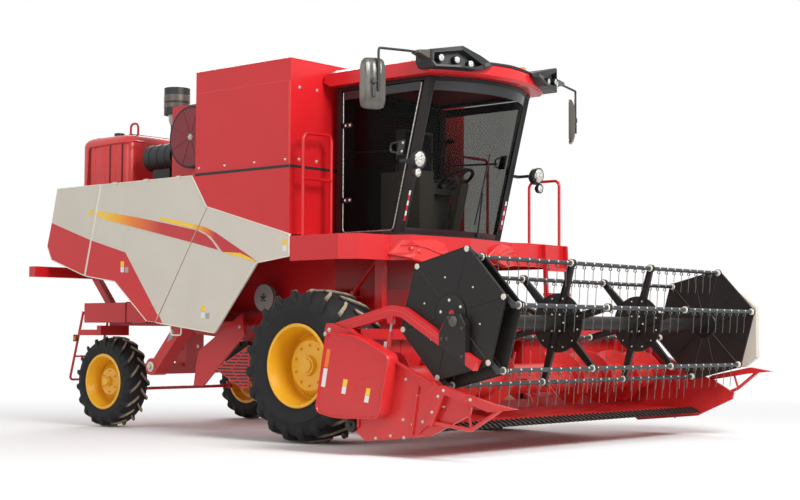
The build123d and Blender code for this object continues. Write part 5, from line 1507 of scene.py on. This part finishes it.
# Bats: blue-black tubes with a flat crank at the right end, and a row of spring-wire tines,
# each wound in a coil under the tube and held to it by one plated screw.
for k in range(6):
    body = f"reel_bat_{k + 1}"
    x, z = corner_at(k, REEL_X, REEL_Z, REEL_R)
    px, pz = corner_at(k, RING_X, RING_Z, REEL_R)
    build = bmesh.new()
    lathe(build, [(0.0001, -2.166), (0.019, -2.166), (0.020, -2.164), (0.020, 2.108), (0.018, 2.110),
                  (0.0001, 2.110)], at(x, 0, z), 20, closed=False)
    lathe(build, [(0.0001, -2.165), (0.028, -2.165), (0.030, -2.163), (0.030, -2.149), (0.028, -2.147),
                  (0.0001, -2.147)], at(x, 0, z), 24, closed=False)
    lathe(build, [(0.0001, -2.192), (0.0108, -2.192), (0.0108, -2.165), (0.024, -2.165), (0.026, -2.163),
                  (0.026, -2.149), (0.024, -2.147), (0.0001, -2.147)], at(px, 0, pz), 24, closed=False)
    way = Vector((px - x, pz - z)).normalized()
    beside = Vector((-way.y, way.x))
    outline = [Vector((x, z)) + beside * 0.024, Vector((px, pz)) + beside * 0.020,
               Vector((px, pz)) - beside * 0.020, Vector((x, z)) - beside * 0.024]
    plate(build, [tuple(p) for p in outline], -2.162, -2.150)
    tube = piece(f"bat_tube_{k + 1}", build, bat_paint, body)
    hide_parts(body)
    build, heads = bmesh.new(), bmesh.new()
    spot = -PLATE_Y + 0.080
    while spot < PLATE_Y - 0.060:
        if abs(abs(spot) - SPIDER_Y) > 0.045:
            path = [at(x + 0.004, spot - 0.006, z - 0.012)]
            for step in range(21):
                turn = math.radians(60 + 36 * step)
                path.append(at(x + 0.003 + 0.015 * math.cos(turn), spot - 0.005 + 0.0006 * step,
                               z - 0.036 + 0.015 * math.sin(turn)))
            path += [at(x - 0.002, spot + 0.008, z - 0.085), at(x - 0.004, spot + 0.008, z - 0.150),
                     at(x - 0.012, spot + 0.008, z - 0.228)]
            wire(build, path, 0.0034, 5)
            turned(heads, [(0.009, -0.004), (0.009, 0.005), (0.005, 0.008)], (x + 0.017, spot, z + 0.007),
                   (x + 0.9, spot, z + 0.35), 8)
        spot += 0.150
    for y in (-2.060 + 0.012, 2.060 - 0.012):
        lathe(heads, [(0.0204, y - 0.006), (0.027, y - 0.006), (0.027, y + 0.006), (0.0204, y + 0.006)],
              at(x, 0, z), 16)
    piece(f"bat_tines_{k + 1}", build, spring_wire, body)
    piece(f"bat_screws_{k + 1}", heads, nylon_ring, body)

# Eccentric ring: a pressed hexagon ring that turns on the disc of the right arm; beads along
# its rim and to its corners stiffen it, and a plated pin cap sits at each corner.
build, caps, studs = bmesh.new(), bmesh.new(), bmesh.new()
for k in range(6):
    (x0, z0), (x1, z1) = corner_at(k, RING_X, RING_Z, 0.196), corner_at(k, RING_X, RING_Z, 0.545)
    bent_bar(build, [(x0, -2.192, z0), (x1, -2.192, z1)], 0.0055, 0.01, 8)
    (x0, z0), (x1, z1) = corner_at(k, RING_X, RING_Z, 0.612), corner_at(k + 1, RING_X, RING_Z, 0.612)
    bent_bar(build, [(x0, -2.192, z0), (x1, -2.192, z1)], 0.0050, 0.01, 8)
    x, z = corner_at(k, RING_X, RING_Z, REEL_R)
    turned(caps, [(0.027, 0.0), (0.026, 0.0035), (0.018, 0.0045)], (x, -2.193, z), (x, -9, z), 24)
    turned(studs, [(0.012, 0.0), (0.012, 0.0048), (0.006, 0.0052)], (x, -2.193, z), (x, -9, z), 6)
    x, z = corner_at(k + 0.5, RING_X, RING_Z, 0.330)
    turned(studs, [(0.009, 0.0), (0.009, 0.004), (0.004, 0.005)], (x, -2.193, z), (x, -9, z), 8)
lathe(build, [(0.186, -2.1925), (0.192, -2.1972), (0.198, -2.1925)], at(RING_X, 0, RING_Z), 64)
piece("eccentric_ring_beads", build, black_paint, "eccentric_ring")
piece("eccentric_ring_caps", caps, nylon_ring, "eccentric_ring")
piece("eccentric_ring_bolts", studs, zinc_bolt, "eccentric_ring")

# Reel arms: bent box tubes in red with a black bearing sleeve clamped round each front end;
# the right one also holds the fixed disc that the eccentric ring turns on.
SLEEVE = [(2.327, 0.994), (2.623, 0.829), (2.623, 1.183), (2.563, 1.278), (2.417, 1.278), (2.377, 1.203),
          (2.327, 1.108)]
for side, hand in ((-1, "right"), (1, "left")):
    build = bmesh.new()
    plate(build, SLEEVE, side * 2.273, side * 2.1978)
    piece(f"arm_sleeve_{hand}", build, black_paint, "reel_arms", smooth=False, bevel=0.004)
    build = bmesh.new()
    for x, z in ((2.360, 1.060), (2.590, 0.905), (2.590, 1.150), (2.440, 1.245), (2.420, 1.060)):
        screw(build, (x, side * 2.273, z), (x, side * 9, z), 0.010)
    turned(build, [(0.048, 0.0), (0.048, 0.006), (0.036, 0.010), (0.020, 0.012)],
           (REEL_X, side * 2.273, REEL_Z), (REEL_X, side * 9, REEL_Z), 24)
    piece(f"arm_sleeve_bolts_{hand}", build, dark_bolt, "reel_arms")
    # A seam line along each arm, a tab and a pivot cap in the lighter red, painted highlights.
    build = bmesh.new()
    plate(build, [(2.327, 1.112), (2.377, 1.207), (2.390, 1.200), (2.340, 1.104)], side * 2.271,
          side * 2.199)
    bent_bar(build, [(1.010, side * 2.269, 1.150), (1.755, side * 2.269, 1.318),
                     (1.900, side * 2.269, 1.298), (2.320, side * 2.269, 1.060)], 0.004, 0.05, 6)
    turned(build, [(0.040, 0.0), (0.040, 0.012), (0.030, 0.016), (0.001, 0.017)],
           (1.010, side * 2.270, 1.138), (1.010, side * 9, 1.138), 24)
    piece(f"arm_seam_{hand}", build, lit_red, "reel_arms")
build, studs = bmesh.new(), bmesh.new()
lathe(build, [(0.034, -2.2002), (0.1602, -2.2002), (0.1602, -2.1940), (0.1614, -2.1940), (0.1614, -2.2022),
              (0.1570, -2.2035), (0.034, -2.2035)], at(RING_X, 0, RING_Z), 64)
stud_circle(studs, RING_X, -2.2034, RING_Z, 0.120, 5, -1, 0.010, 0.5)
piece("eccentric_disc_face", build, black_paint, "reel_arms")
piece("eccentric_disc_bolts", studs, zinc_bolt, "reel_arms")

scene = bpy.context.scene
scene.view_settings.view_transform = "Standard"
